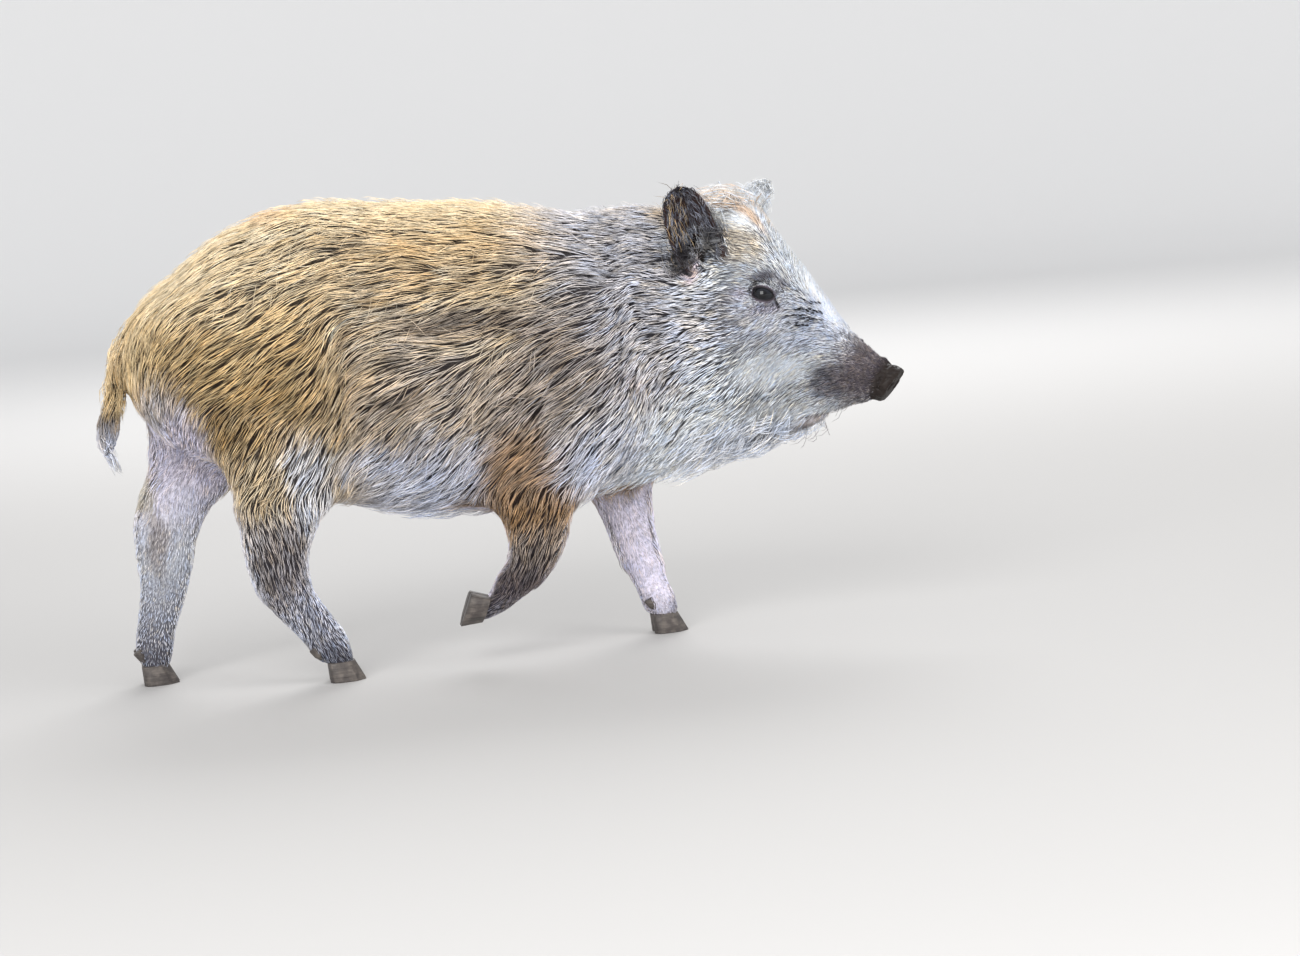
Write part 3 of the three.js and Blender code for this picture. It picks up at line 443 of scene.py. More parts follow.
LEG_TOP = ((230, FLANK), (262, OCHRE), (330, OCHRE), (380, STRAW))
BY_HEIGHT = {  # height and colour of each part's bands
    "trunk": ((185, SILVER), (215, SILVER), (248, FADED), (330, FADED), (370, FLANK), (405, TAN),
              (440, CREAM)),
    "rump": ((230, FLANK), (290, OCHRE), (350, STRAW), (400, CREAM), (440, CREAM)),
    "neck": ((200, WHITE), (232, WHITE), (258, GRIZZLE), (424, GRIZZLE), (442, TAN)),
    "head": ((190, FROST), (225, WHITE), (280, WHITE), (300, FROST), (330, FROST), (350, WHITE),
             (430, WHITE)),
    "thigh": LEG_TOP,
    "upper": ((90, MUD), (125, SHOULDER), (165, UMBER)),
    "shank": ((110, ASH), (190, FADED), (225, FLANK)),
    "foreleg": ((30, SLATE), (70, MUD), (90, MUD)),
    "hindleg": ((20, SLATE), (60, ASH), (90, ASH)),
    "ear_right": ((360, SOOT), (440, SOOT)),
    "ear_left": ((360, FROST), (385, WHITE), (440, WHITE)),
    "tail": ((245, FROST), (268, SILVER), (284, STRIPE), (312, STRAW), (350, CREAM)),
    "disc": ((200, WET_SNOUT), (260, WET_SNOUT)),
}
INSIDE_HINDLEG = (10, SLATE), (40, SILVER), (130, FROST), (210, LILAC), (330, LILAC)
INSIDE_FORELEG = (10, SLATE), (42, LILAC), (330, LILAC)
# Patch: middle, half sizes, colour, strength; way along the body and height, the same on both sides
BODY_PATCHES = (
    ((-160, 344), (58, 8.5), STRIPE, 0.85), ((-110, 334), (26, 8), STRIPE, 0.8),
    ((-155, 367), (60, 8), CREAM, 0.5), ((-150, 321), (56, 7), CREAM, 0.45),
    ((-235, 282), (24, 9), STRIPE, 0.9), ((-267, 423), (36, 8), STRIPE, 0.35),
    ((-250, 350), (18, 50), FLANK, 0.7), ((-298, 310), (7, 44), CREAM, 0.5),
    ((-80, 300), (40, 44), SHOULDER, 0.7), ((-112, 262), (36, 22), SHOULDER, 0.7),
    ((6, 272), (24, 8), shade(216, 170, 112), 0.35), ((-235, 226), (70, 16), SILVER, 0.65),
    ((-340, 212), (21, 46), FROST, 0.7), ((-374, 212), (24, 26), CREAM, 0.5),
    ((-373, 462), (80, 12), RUST, 0.3), ((-390, 394), (30, 24), CREAM, 0.5),
    ((-40, 214), (36, 26), ASH, 0.6),
)
HEAD_PATCHES = (  # way along the head, aside, height
    ((16, 90, 325), (52, 50, 90), GRIZZLE, 0.6), ((80, 60, 236), (84, 60, 22), WHITE, 0.8),
    ((66, 58, 322), (28, 20, 24), GRIZZLE, 0.6), ((108, 50, 265), (36, 36, 13), WHITE, 0.9),
    ((159, 26, 249), (19, 26, 17), SMOKE, 0.85), ((150, 26, 305), (26, 14, 26), shade(222, 230, 246), 0.7),
    ((82, 34, 388), (30, 14, 20), CREAM, 0.6), ((74, 12, 416), (40, 7, 30), shade(226, 176, 112), 0.6),
    ((30, 14, 415), (30, 16, 14), TAN, 0.6), ((192, 0, 256), (35, 40, 34), MUD, 0.97),
    # The arcs in the dark brow colour on the next two lines are painted shade of the recess under the brow
    # ridge.
    ((219, 0, 240), (19, 40, 30), shade(50, 41, 38), 0.95), ((112, 42, 357.5), (17, 14, 4.5), BROW_RECESS_SHADE, 0.9),
    ((129, 38, 350), (8, 12, 6), BROW_RECESS_SHADE, 0.85), ((86, 44, 343), (9, 14, 8), shade(176, 168, 184), 0.7),
    ((108, 42, 327), (19, 14, 5.5), shade(140, 134, 150), 0.7),
    ((160, 24, 215), (26, 30, 6), shade(168, 152, 146), 0.8),
    # The near-black soot patch on the next line, at each ear's base, is a painted shadow of the ear.
    ((54, 57, 388), (12, 18, 17), SOOT, 0.88), ((41, 62, 366), (5, 16, 11), shade(222, 198, 206), 0.8),
    ((137, 12, 207), (14, 20, 7), shade(150, 122, 104), 0.6),
)
LEG_PATCHES = (
    ((-379, 122), (20, 36), EARTH, 0.65), ((-318, 72), (8, 28), FROST, 0.85),
    ((-346, 200), (11, 40), FROST, 0.5), ((-492, 146), (12, 34), EARTH, 0.65),
    ((-497, 200), (11, 26), shade(196, 186, 158), 0.7),
)
PALE_UNDERCOAT = (
    ((108, 50, 265), (36, 36, 14)), ((146, 0, 322), (36, 17, 34)), ((70, 30, 212), (80, 60, 18)),
    ((66, 14, 420), (34, 30, 22)), ((41, 62, 366), (6, 16, 11)),
)
SEAT, SEAT_EDGE = ((-456, 236), (25, 52)), ((-470, 262), (36, 58))
ELBOW, LEFT_ELBOW_AHEAD = ((-124, 196), (34, 46)), 102


def zone(points, middle, half):
    """1 inside a soft-edged patch, 0 outside it."""
    return fade(np.linalg.norm((points - np.array(middle)) / np.array(half), axis=1), 0.6, 1.5)


def over(base, new, share):
    """Each corner's colour with so much of a new one laid over it."""
    return base * (1 - share[:, None]) + new * share[:, None]


def patched(colours, points, patches):
    for middle, half, new, strength in patches:
        colours = over(colours, new, strength * zone(points, middle, half))
    return colours


def banded(stops):
    """Each corner's colour by its height, between the stops."""
    heights, colours = [stop[0] for stop in stops], np.array([stop[1] for stop in stops])
    return np.stack([np.interp(level, heights, channel) for channel in colours.T], 1)


normals = outward(places, triangles)
along, aside, height = from_head(places)
x, y, z = places.T
side_view = places[:, [0, 2]]
ripple = 5 * np.sin(z * 0.11 + x * 0.05) + 4 * np.sin(x * 0.13 + 1.7)
level = z + ripple
body_places = side_view + ripple[:, None] * [0.6, 0.5]
head_places = np.stack([along, abs(aside), height], 1) + ripple[:, None] * [0.3, 0, 0.3]

marking = over(banded(BY_HEIGHT["trunk"]), banded(BY_HEIGHT["rump"]), smooth(-x + ripple, 235, 330))
marking = over(marking, banded(BY_HEIGHT["neck"]), smooth(x + 0.25 * (z - 300) + ripple, -105, -15))
head_share = smooth(along + 2 * ripple, -2, 66) * among("neck", "head", "jaw")
marking = over(marking, banded(BY_HEIGHT["head"]), head_share)
for name in flesh:
    key = next((key for key in BY_HEIGHT if key in name), "head")
    if key not in ("trunk", "rump", "neck", "head"):
        here = part == flesh.index(name)
        marking[here] = banded(BY_HEIGHT[key])[here]
body_part = among("trunk", "rump", "neck", "thigh", "upper", "shank")
marking = net.relaxed(marking, 36, 0.5 * net.relaxed(body_part, 6)[:, None])
marking = net.relaxed(marking, 8)

body_share = net.relaxed(body_part, 8)
not_outer_left = 1 - smooth(normals[:, 1], 0.1, 0.55)
seat = zone(side_view, *SEAT) * not_outer_left * body_share
to_left_elbow = np.stack([LEFT_ELBOW_AHEAD * smooth(y, -20, 20), 0 * y], 1)
laid = patched(marking, body_places, BODY_PATCHES)
laid = over(laid, SILVER, 0.7 * zone(side_view, *SEAT_EDGE) * not_outer_left)
laid = over(over(laid, LILAC, seat), UMBER, 0.9 * zone(side_view - to_left_elbow, *ELBOW))
marking = marking + (laid - marking) * body_share[:, None]
of_face = net.relaxed(among("head", "jaw"), 12)
laid = patched(marking, head_places, HEAD_PATCHES)
marking = net.relaxed(marking + (laid - marking) * of_face[:, None], 3)

of_leg, of_foreleg = among("thigh", "shank", "cannon", "pastern", "upper"), among("foreleg")
from_left = np.where(among("leg_left") > 0, 1.0, -1.0)
inner = of_leg * smooth(-normals[:, 1] * from_left, -0.35, 0.3) * fade(z, 270, 325)
inner = net.relaxed(inner, 4)
marking = over(marking, over(banded(INSIDE_HINDLEG), banded(INSIDE_FORELEG), of_foreleg), inner)
marking = over(marking, patched(marking, body_places, LEG_PATCHES), of_leg)

# Ears: cups of thin gristle, whose floor runs down into a hollow in the head, darkened further on as painted
# shade. The floor is sunk into the hide between the ear's two edges.
EAR_OPENS = {"ear_right": unit(-HEAD_LEFT + 0.45 * HEAD_FORWARD),
             "ear_left": unit(HEAD_LEFT + 0.7 * HEAD_FORWARD)}
EAR_BASE = {"ear_right": in_head(52, -59, 381), "ear_left": in_head(50, 57, 379)}
EAR_TIP = {"ear_right": in_head(37, -78, 454), "ear_left": in_head(75, 80, 444)}
CUP_HALF_ACROSS, CUP_HALF_TALL, CUP_UP, CUP_DEEP, CUP_REACH = 13, 19, 3, 8, 26
hollow = np.zeros(len(places))
for name, opens in EAR_OPENS.items():
    axis = unit(EAR_TIP[name] - EAR_BASE[name])
    out = places - EAR_BASE[name]
    across_ear, up_ear = out @ np.cross(axis, opens) / CUP_HALF_ACROSS, (out @ axis - CUP_UP) / CUP_HALF_TALL
    in_reach = abs(out @ opens) < CUP_REACH
    sunk = fade(across_ear**2 + up_ear**2, 0.45, 1)
    hollow = np.maximum(hollow, sunk * in_reach * among("head"))
    places = places - opens * (CUP_DEEP * hollow * in_reach)[:, None]

# Bare skin: lids, snout's disc, lips and the ears' cups, nearly black and a little damp, with painted shade
# darkening the ears' hollows, the nostrils and the tear ducts further. Elsewhere the skin between pale hairs
# is dark, partly its own colour and partly painted shade of the gaps, and as pale as they are where the
# undercoat is thin.
normals = outward(places, triangles)
x, y, z = places.T
eye_gap = gap_to(places, *EYE_PLACE.values())
disc_gap, lip_gap = gap_to(places, DISC_PLACE), abs(height - lip_line(along))
bare = np.max([among("disc"), fade(lid_gap, 1.8, 3.4), fade(lip_gap, 1.0, 2.2) * lip_zone,
               fade(disc_gap, 23, 29), hollow, tear], 0)
in_cup = np.zeros(len(places))
for name, opens in EAR_OPENS.items():
    here = part == flesh.index(name)
    in_cup[here] = smooth(normals[here] @ opens, -0.05, 0.35)
airy = 0.9 * np.max([zone(head_places, *place) for place in PALE_UNDERCOAT], 0) * of_face
airy = np.maximum(airy, inner * smooth(z + 140 * of_foreleg, 30, 190))
airy = np.clip(np.maximum(airy, 0.95 * seat) + 0.5 * among("ear_left"), 0, 1)
# The skin between the hairs is its marking mixed with the dark cool colour and darkened: partly its own dark
# colour, partly painted shade of the gaps.
skin_colour = over((marking * 0.45 + UNDERCOAT_AND_GAP_SHADE * 0.55) * 0.3, marking * 0.9, airy)
lid_colour = LID_SKIN * (0.12 + 0.88 * smooth(lid_gap, 0.2, 2.2))[:, None]
# The groove of each tear duct is darkened: painted shade in the crease.
skin_colour = over(skin_colour, lid_colour, fade(lid_gap, 2.5, 5)) * (1 - 0.85 * tear[:, None])
cup_share = np.maximum(smooth(in_cup, 0.3, 0.8), hollow)
# The ear's hollow is darkened towards its depth: painted shade in the recess.
skin_colour = over(skin_colour, CUP_SKIN * (1 - 0.75 * hollow[:, None]), cup_share)
snout_share = fade(disc_gap, 24, 31)
# The nostrils are darkened inside: painted shade in the hollows.
skin_colour = over(skin_colour, WET_SNOUT * (1 - 0.85 * nostril[:, None]), snout_share)
skin_colour = over(skin_colour, LIP_SKIN, fade(lip_gap, 0.5, 2.5) * lip_zone * (1 - snout_share))


class Signal:
    """One output of a material's node. Arithmetic on it adds Math nodes."""

    def __init__(self, paint, socket):
        self.paint, self.socket = paint, socket

    def maths(self, operation, *others):
        return self.paint.node("ShaderNodeMath", {"operation": operation}, dict(enumerate(others)))

    def __add__(self, other):
        return self.maths("ADD", self, other)

    def __mul__(self, other):
        return self.maths("MULTIPLY", self, other)

    def __sub__(self, other):
        return self.maths("SUBTRACT", self, other)

    def __rsub__(self, other):
        return self.maths("SUBTRACT", other, self)

    __radd__, __rmul__ = __add__, __mul__


class Paint:
    """A material, whose look is written with signals."""

    def __init__(self, name):
        self.material = bpy.data.materials.new(name)
        self.material.use_nodes = True
        self.tree = self.material.node_tree
        self.shader = self.tree.nodes["Principled BSDF"]

    def node(self, kind, settings=None, sockets=None, output=0):
        made = self.tree.nodes.new(kind)
        for key, value in (settings or {}).items():
            setattr(made, key, value)
        for key, value in (sockets or {}).items():
            self.plug(made.inputs[key], value)
        return Signal(self, made.outputs[output])

    def plug(self, socket, value):
        if isinstance(value, Signal):
            self.tree.links.new(value.socket, socket)
        else:
            socket.default_value = value

    def layer(self, name, output="Color"):
        return self.node("ShaderNodeAttribute", {"attribute_name": name}, output=output)

    def place(self):
        return self.node("ShaderNodeTexCoord", output="Object")

    def noise(self, scale, detail=3, stretched=(1, 1, 1)):
        place = self.place()
        if stretched != (1, 1, 1):
            place = self.node("ShaderNodeMapping", None, {"Vector": place, "Scale": stretched})
        return self.node("ShaderNodeTexNoise", None, {"Vector": place, "Scale": scale, "Detail": detail})

    def mixed(self, share, first, second, blend="MIX"):
        return self.node("ShaderNodeMix", {"data_type": "RGBA", "blend_type": blend},
                         {0: share, 6: first, 7: second}, output=2)

    def ramp(self, signal, low, high, start=0.0, end=1.0):
        return self.node("ShaderNodeMapRange", {"interpolation_type": "SMOOTHSTEP"},
                         {0: signal, 1: low, 2: high, 3: start, 4: end})

    def finish(self, colour, roughness, bump=None, bump_depth=0.0005, specular=0.5):
        self.plug(self.shader.inputs["Base Color"], colour)
        self.plug(self.shader.inputs["Roughness"], roughness)
        self.plug(self.shader.inputs["Specular IOR Level"], specular)
        if bump is not None:
            bumps = {"Height": bump, "Distance": bump_depth, "Strength": 1.0}
            self.plug(self.shader.inputs["Normal"], self.node("ShaderNodeBump", None, bumps))
        return self.material


def store(mesh, name, values):
    """Keep a number or a colour for each corner of a mesh, for its material to read."""
    if values.ndim == 1:
        mesh.attributes.new(name, "FLOAT", "POINT").data.foreach_set("value", values.astype(np.float32))
    else:
        with_alpha = np.concatenate([values, np.ones((len(values), 1))], 1).astype(np.float32)
        mesh.attributes.new(name, "FLOAT_COLOR", "POINT").data.foreach_set("color", with_alpha.ravel())


# The coat hides most of the skin, so its net is thinned everywhere but on the head
THINNED_TO, SPARE_FACTOR = 0.56, 10.0
CREASE_SHADE, CREASE_DEEP = (0.02, 0.015, 0.012, 1), 0.0011
corner_tree = KDTree(len(places))
for index, place in enumerate(places.tolist()):
    corner_tree.insert(place, index)
corner_tree.balance()
hide = placed("skin", mesh_of("fine skin", places, triangles))
spared = hide.vertex_groups.new(name="spared")
on_head = net.relaxed(among("head", "jaw", "ear", "disc"), 3) > 0.5
spared.add(np.flatnonzero(on_head).tolist(), 1.0, "REPLACE")
thin = hide.modifiers.new("thin", "DECIMATE")
thin.ratio, thin.vertex_group, thin.vertex_group_factor = THINNED_TO, "spared", SPARE_FACTOR
thin.invert_vertex_group = True
hide_mesh = bpy.data.meshes.new_from_object(hide.evaluated_get(bpy.context.evaluated_depsgraph_get()))
hide.modifiers.clear()
hide.vertex_groups.clear()
hide_mesh.name, hide.data = "skin", hide_mesh
was_at = np.array([corner_tree.find((v.co / MM) - Vector(ORIGIN))[1] for v in hide_mesh.vertices])
store(hide_mesh, "marking", skin_colour[was_at])
store(hide_mesh, "bare", bare[was_at])
paint = Paint("hide")
pores, wrinkles = paint.noise(900, 4), paint.noise(260, 3)
# Where the wrinkle noise is high, the skin is mixed about a third of the way towards near black: painted
# shade in its creases, from the same noise that makes the bump.
colour = paint.mixed(paint.ramp(wrinkles, 0.35, 0.7, 0.0, 0.35), paint.layer("marking"), CREASE_SHADE)
roughness = 0.8 - paint.layer("bare", "Fac") * 0.3 + (pores - 0.5) * 0.2
hide_mesh.materials.append(paint.finish(colour, roughness, pores * 0.4 + wrinkles, CREASE_DEEP, 0.25))
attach(hide, "root")
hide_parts(*flesh)

# The coat: coarse hairs in locks that lie back along the body and down the legs, each hair a thin closed
# spindle rooted in the skin. Dark roots, paler tips, and every lock a little askew from the next.
COAT = {  # length in mm, long pale hairs per square cm, short dark hairs among their roots, width in mm
    "ear": (9, 45, 40, 0.55), "disc": (0, 0, 0, 0.8), "tail": (28, 36, 36, 0.75),
    "pastern": (8, 34, 40, 0.55), "cannon": (10, 30, 36, 0.55), "shank": (18, 15, 26, 0.66),
    "upper": (22, 13, 24, 0.7), "thigh": (31, 9, 21, 0.78), "jaw": (12, 36, 40, 0.7),
    "head": (12, 40, 44, 0.7), "neck": (20, 18, 28, 0.6), "rump": (37, 6.9, 17, 0.71),
    "trunk": (38, 6.7, 17, 0.71),
}
FACE_LENGTH = (20, 60, 100, 160, 190, 215), (21, 15, 10.5, 7.5, 5, 4)  # by the way along the head
JOWL_LONGER, SHORT_AT_EYE, SHORT_AT_EAR = 7, 0.5, 0.5
FACE_WIDTH = (4, 8, 16, 22), (0.6, 0.85, 0.85, 0.7)  # this and the next two by the hair's length
FACE_GUARDS = (4, 8, 12, 20, 30), (90, 42, 28, 17, 12)
FACE_UNDERS = (4, 8, 12, 20), (70, 45, 38, 26)
INSIDE_LEG_SHORTER, INSIDE_LEG_FINER, AIRY_GUARDS, AIRY_UNDERS = 0.45, 0.15, 0.5, 0.6
length, guards, unders, width = (
    net.relaxed(values, rounds) for values, rounds in zip(each(COAT).T, (30, 12, 12, 30)))
on_face = among("head", "jaw") > 0
face_length = np.interp(along, *FACE_LENGTH)
face_length += JOWL_LONGER * fade(height, 215, 270) * fade(along, 100, 150)
face_length *= 1 - SHORT_AT_EYE + SHORT_AT_EYE * smooth(eye_gap, 15, 34)
face_length *= 1 - SHORT_AT_EAR + SHORT_AT_EAR * smooth(gap_to(places, *EAR_BASE.values()), 18, 40)
length = net.relaxed(np.where(on_face, face_length, length), 10)
width = np.where(on_face, np.interp(length, *FACE_WIDTH), width)
guards = np.where(on_face, np.interp(length, *FACE_GUARDS), guards)
unders = np.where(on_face, np.interp(length, *FACE_UNDERS), unders)
haired = 1 - bare
guards = guards * (1 + AIRY_GUARDS * airy) * haired * (in_cup < 0.5)
unders = unders * (1 - AIRY_UNDERS * airy * (1 - inner)) * haired * (in_cup < 0.5)
length = length * (1 - INSIDE_LEG_SHORTER * np.maximum(inner, seat))
width = width * (1 - INSIDE_LEG_FINER * inner)

# The lie of the coat, as a direction at each corner of the skin. It runs back along the body and down the
# legs, sways in places, and parts round the eyes and ears.
LEGS = {"foreleg_right": "upper", "foreleg_left": "upper", "hindleg_right": "shank", "hindleg_left": "shank"}
SWAYS = (0.16, 0.05, 0.085, 0), (0.14, 0.11, -0.04, 0), (0.12, 0.23, 0.19, 1)  # angle, by x and z, start
FLANK_SWAYS = ((-306, 312), (17, 52), 0.55), ((-215, 318), (52, 16), -0.3), ((-150, 290), (40, 20), 0.25)
EYE_PARTING, EAR_PARTING, PARTING = 22, 26, 0.9  # reaches in mm, and how far the hair turns away


def turned(way, axis, angle):
    return way * np.cos(angle)[:, None] + np.cross(axis, way) * np.sin(angle)[:, None]


def in_side_view(x, z):
    """Directions without a sideways part, from one or many x and z."""
    x, z = np.broadcast_arrays(x, z)
    return np.stack([x, 0 * z, z], 1)


chains = {}
for leg, first in LEGS.items():
    joints = [leg + "_" + first, leg + "_cannon", leg + "_pastern", leg + "_hoof_left"]
    for index, name in enumerate(joints[:-1]):
        chains[name] = unit(centres[joints[index + 1]] - centres[joints[max(index - 1, 0)]])
chains |= {name: EAR_TIP[name] - EAR_BASE[name] for name in EAR_TIP}
chains |= {name: np.array([-0.5, 0, -0.86]) for name in flesh if "thigh" in name}
top = smooth(normals[:, 2], 0.2, 0.9)
low = np.clip((400 - z) / 170, 0, 1)
lie = np.zeros_like(places)
for index, name in enumerate(flesh):
    here = part == index
    down, n_top = low[here], top[here]
    if name == "trunk":
        way = in_side_view(-1.0, -(0.10 + 0.75 * down**1.5) * (1 - n_top))
    elif name == "rump":
        behind = smooth(-normals[here, 0], 0.3, 0.9)
        way = in_side_view(-1 + 0.6 * behind, -0.45 - 0.6 * behind - 0.4 * down)
    elif name == "neck":
        way = in_side_view(-1.0, -(0.2 + 1.0 * down) * (1 - 0.8 * n_top))
    elif name == "tail":
        drop = np.clip((350 - z[here]) / 40, 0, 1)
        way = in_side_view(-0.8 + 0.65 * drop, -0.5 - 0.5 * drop)
    elif name in ("head", "jaw"):
        sag = fade(height[here], 250, 350) * fade(along[here], 90, 170)
        way = -HEAD_FORWARD[None] - UP * (0.55 * sag)[:, None]
        way = way + HEAD_LEFT * (np.sign(aside[here]) * 0.25 * smooth(height[here], 340, 390))[:, None]
    else:
        way = chains.get(name, -UP)
    lie[here] = unit(way)
partings = [(p, EYE_PARTING) for p in EYE_PLACE.values()] + [(p, EAR_PARTING) for p in EAR_BASE.values()]
for centre, reach in partings:
    away = ridge(gap_to(places, centre), 0, reach) * on_face
    lie += unit(places - centre) * (PARTING * away)[:, None]
sway = sum(angle * np.sin(x * by_x + z * by_z + start) for angle, by_x, by_z, start in SWAYS)
sway *= (1 - of_leg) * (1 - of_face) * (0.35 + 0.5 * low)
flank_side = np.where(y < 0, 1.0, -1.0) * (1 - top)
sway += flank_side * sum(angle * zone(side_view, middle, half) for middle, half, angle in FLANK_SWAYS)
lie = turned(lie, normals, sway)
for rounds in (16, 3):
    lie = net.relaxed(lie, rounds)
    lie = unit(lie - normals * dot(lie, normals)[:, None])

# Streaks: a random lightness for every corner, drawn out along the lie
STREAKS = (1, 14, 0.5), (5, 60, 0.6)  # rounds of smoothing before, rounds along the lie, share
random = np.random.default_rng(20)
edge_way = unit(places[net.b] - places[net.a])
pull_along = (edge_way * (lie[net.a] + lie[net.b]) / 2).sum(1) ** 6 + 0.002
pull_sum = np.bincount(net.a, pull_along, net.count)
streaks = np.zeros(net.count)
for coarse, rounds, share in STREAKS:
    noise = net.relaxed(random.normal(0, 1, net.count), coarse)
    for _ in range(rounds):
        noise += (np.bincount(net.a, pull_along * noise[net.b], net.count) / pull_sum - noise) * 0.6
    noise -= net.relaxed(noise, 40)
    streaks += share * noise / noise.std()


def winding(points, halvings=10):
    """The order in which a path winds through all the points, so that even steps along it spread evenly."""
    cell = ((points - points.min(0)) / np.ptp(points, 0).max() * (2**halvings - 1)).astype(np.int64)
    code = np.zeros(len(points), np.int64)
    for bit in range(halvings):
        for axis in range(3):
            code |= ((cell[:, axis] >> bit) & 1) << (3 * bit + axis)
    return np.argsort(code)


face_mid = places[triangles].mean(1)
face_area = np.linalg.norm(face_ways(places, triangles), axis=1) / 2
face_order = winding(face_mid)


def on_skin(points):
    """The points dropped onto the skin, and the skin's nearest corners."""
    near = np.array([corner_tree.find(p)[1] for p in points.tolist()])
    off = dot(points - places[near], normals[near])
    return points - normals[near] * off[:, None], near


BODY_AXIS, FACE_AXIS, BETWEEN_LEGS = 310, 290, -260  # two heights to unroll round, and a place along the body


def unrolled(points, facing, names):
    """Each root's place, from 0 to 1, on the skin of its part unrolled round the part's own length."""
    kind = names[0]
    if kind.startswith("ear"):
        u, v = np.zeros(len(points)), np.zeros(len(points))
        for index, name in enumerate(names):
            here = points[:, 1] < 0 if name == "ear_right" else points[:, 1] >= 0
            axis = unit(EAR_TIP[name] - EAR_BASE[name])
            side = unit(np.cross(axis, EAR_OPENS[name]))
            angle = np.arctan2(facing @ side, facing @ np.cross(axis, side))
            u = np.where(here, (index + 0.5 + angle / (2 * np.pi)) / len(names), u)
            v = np.where(here, (points - EAR_BASE[name]) @ axis, v)
    elif "leg" in kind:
        of_front = (points[:, 0] > BETWEEN_LEGS).astype(float)
        u, v = (of_front + 0.5 + np.arctan2(facing[:, 1], facing[:, 0]) / (2 * np.pi)) / 2, points[:, 2]
    elif kind in ("head", "jaw"):
        v, across, tall = from_head(points)
        u = np.arctan2(across, tall - FACE_AXIS)
    else:
        u, v = np.arctan2(points[:, 1], points[:, 2] - BODY_AXIS), points[:, 0]
    u = (u - u.min()) / max(np.ptp(u), 1e-6)
    v = (v - v.min()) / max(np.ptp(v), 1e-6)
    return np.stack([u, v], 1) * 0.99 + 0.005


def spindle(rings):
    """Triangles of one closed hair of so many rings of three, its end corners first and last. With no
    rings, a spike on a base of three."""
    if not rings:
        return np.array([(0, 1, 2), (0, 3, 1), (1, 3, 2), (2, 3, 0)])
    faces = [(0, 1 + (k + 1) % 3, 1 + k) for k in range(3)]
    for ring in range(rings - 1):
        for k in range(3):
            a, b = 1 + 3 * ring + k, 1 + 3 * ring + (k + 1) % 3
            faces += [(a, b, a + 3), (b, b + 3, a + 3)]
    last = 1 + 3 * (rings - 1)
    return np.array(faces + [(last + k, last + (k + 1) % 3, 3 * rings + 1) for k in range(3)])


# A hair's rings and its tip: way along it, and height over the skin as a share of the hair's rise
GUARD_STEPS, UNDER_STEPS = ((0.3, 0.85), (0.66, 1.0), (1.0, 1.0)), ((0.45, 0.6), (1.0, 0.65))
SPIKE_STEPS = ((1.0, 1.0),)
SIZE_SPREAD, RISE_SPREAD, GATHER_SPREAD = (0.7, 1.2), (0.88, 1.08), (0.6, 1.0)
ROOT_SUNK, LOCK_REACH, PATCH_SIZE, SPIKE_BASE = 0.7, 14, 0.003, 0.15
LOCK_TONE, STREAK_TONE, HAIR_TONE, WARMTH = 0.08, 0.13, 0.17, 0.05
AIRY_TONE, AIRY_LIFT, DARK_TONE, DARK_POWER, BRIGHTEST = 0.97, 0.9, 0.6, 1.25, 0.93


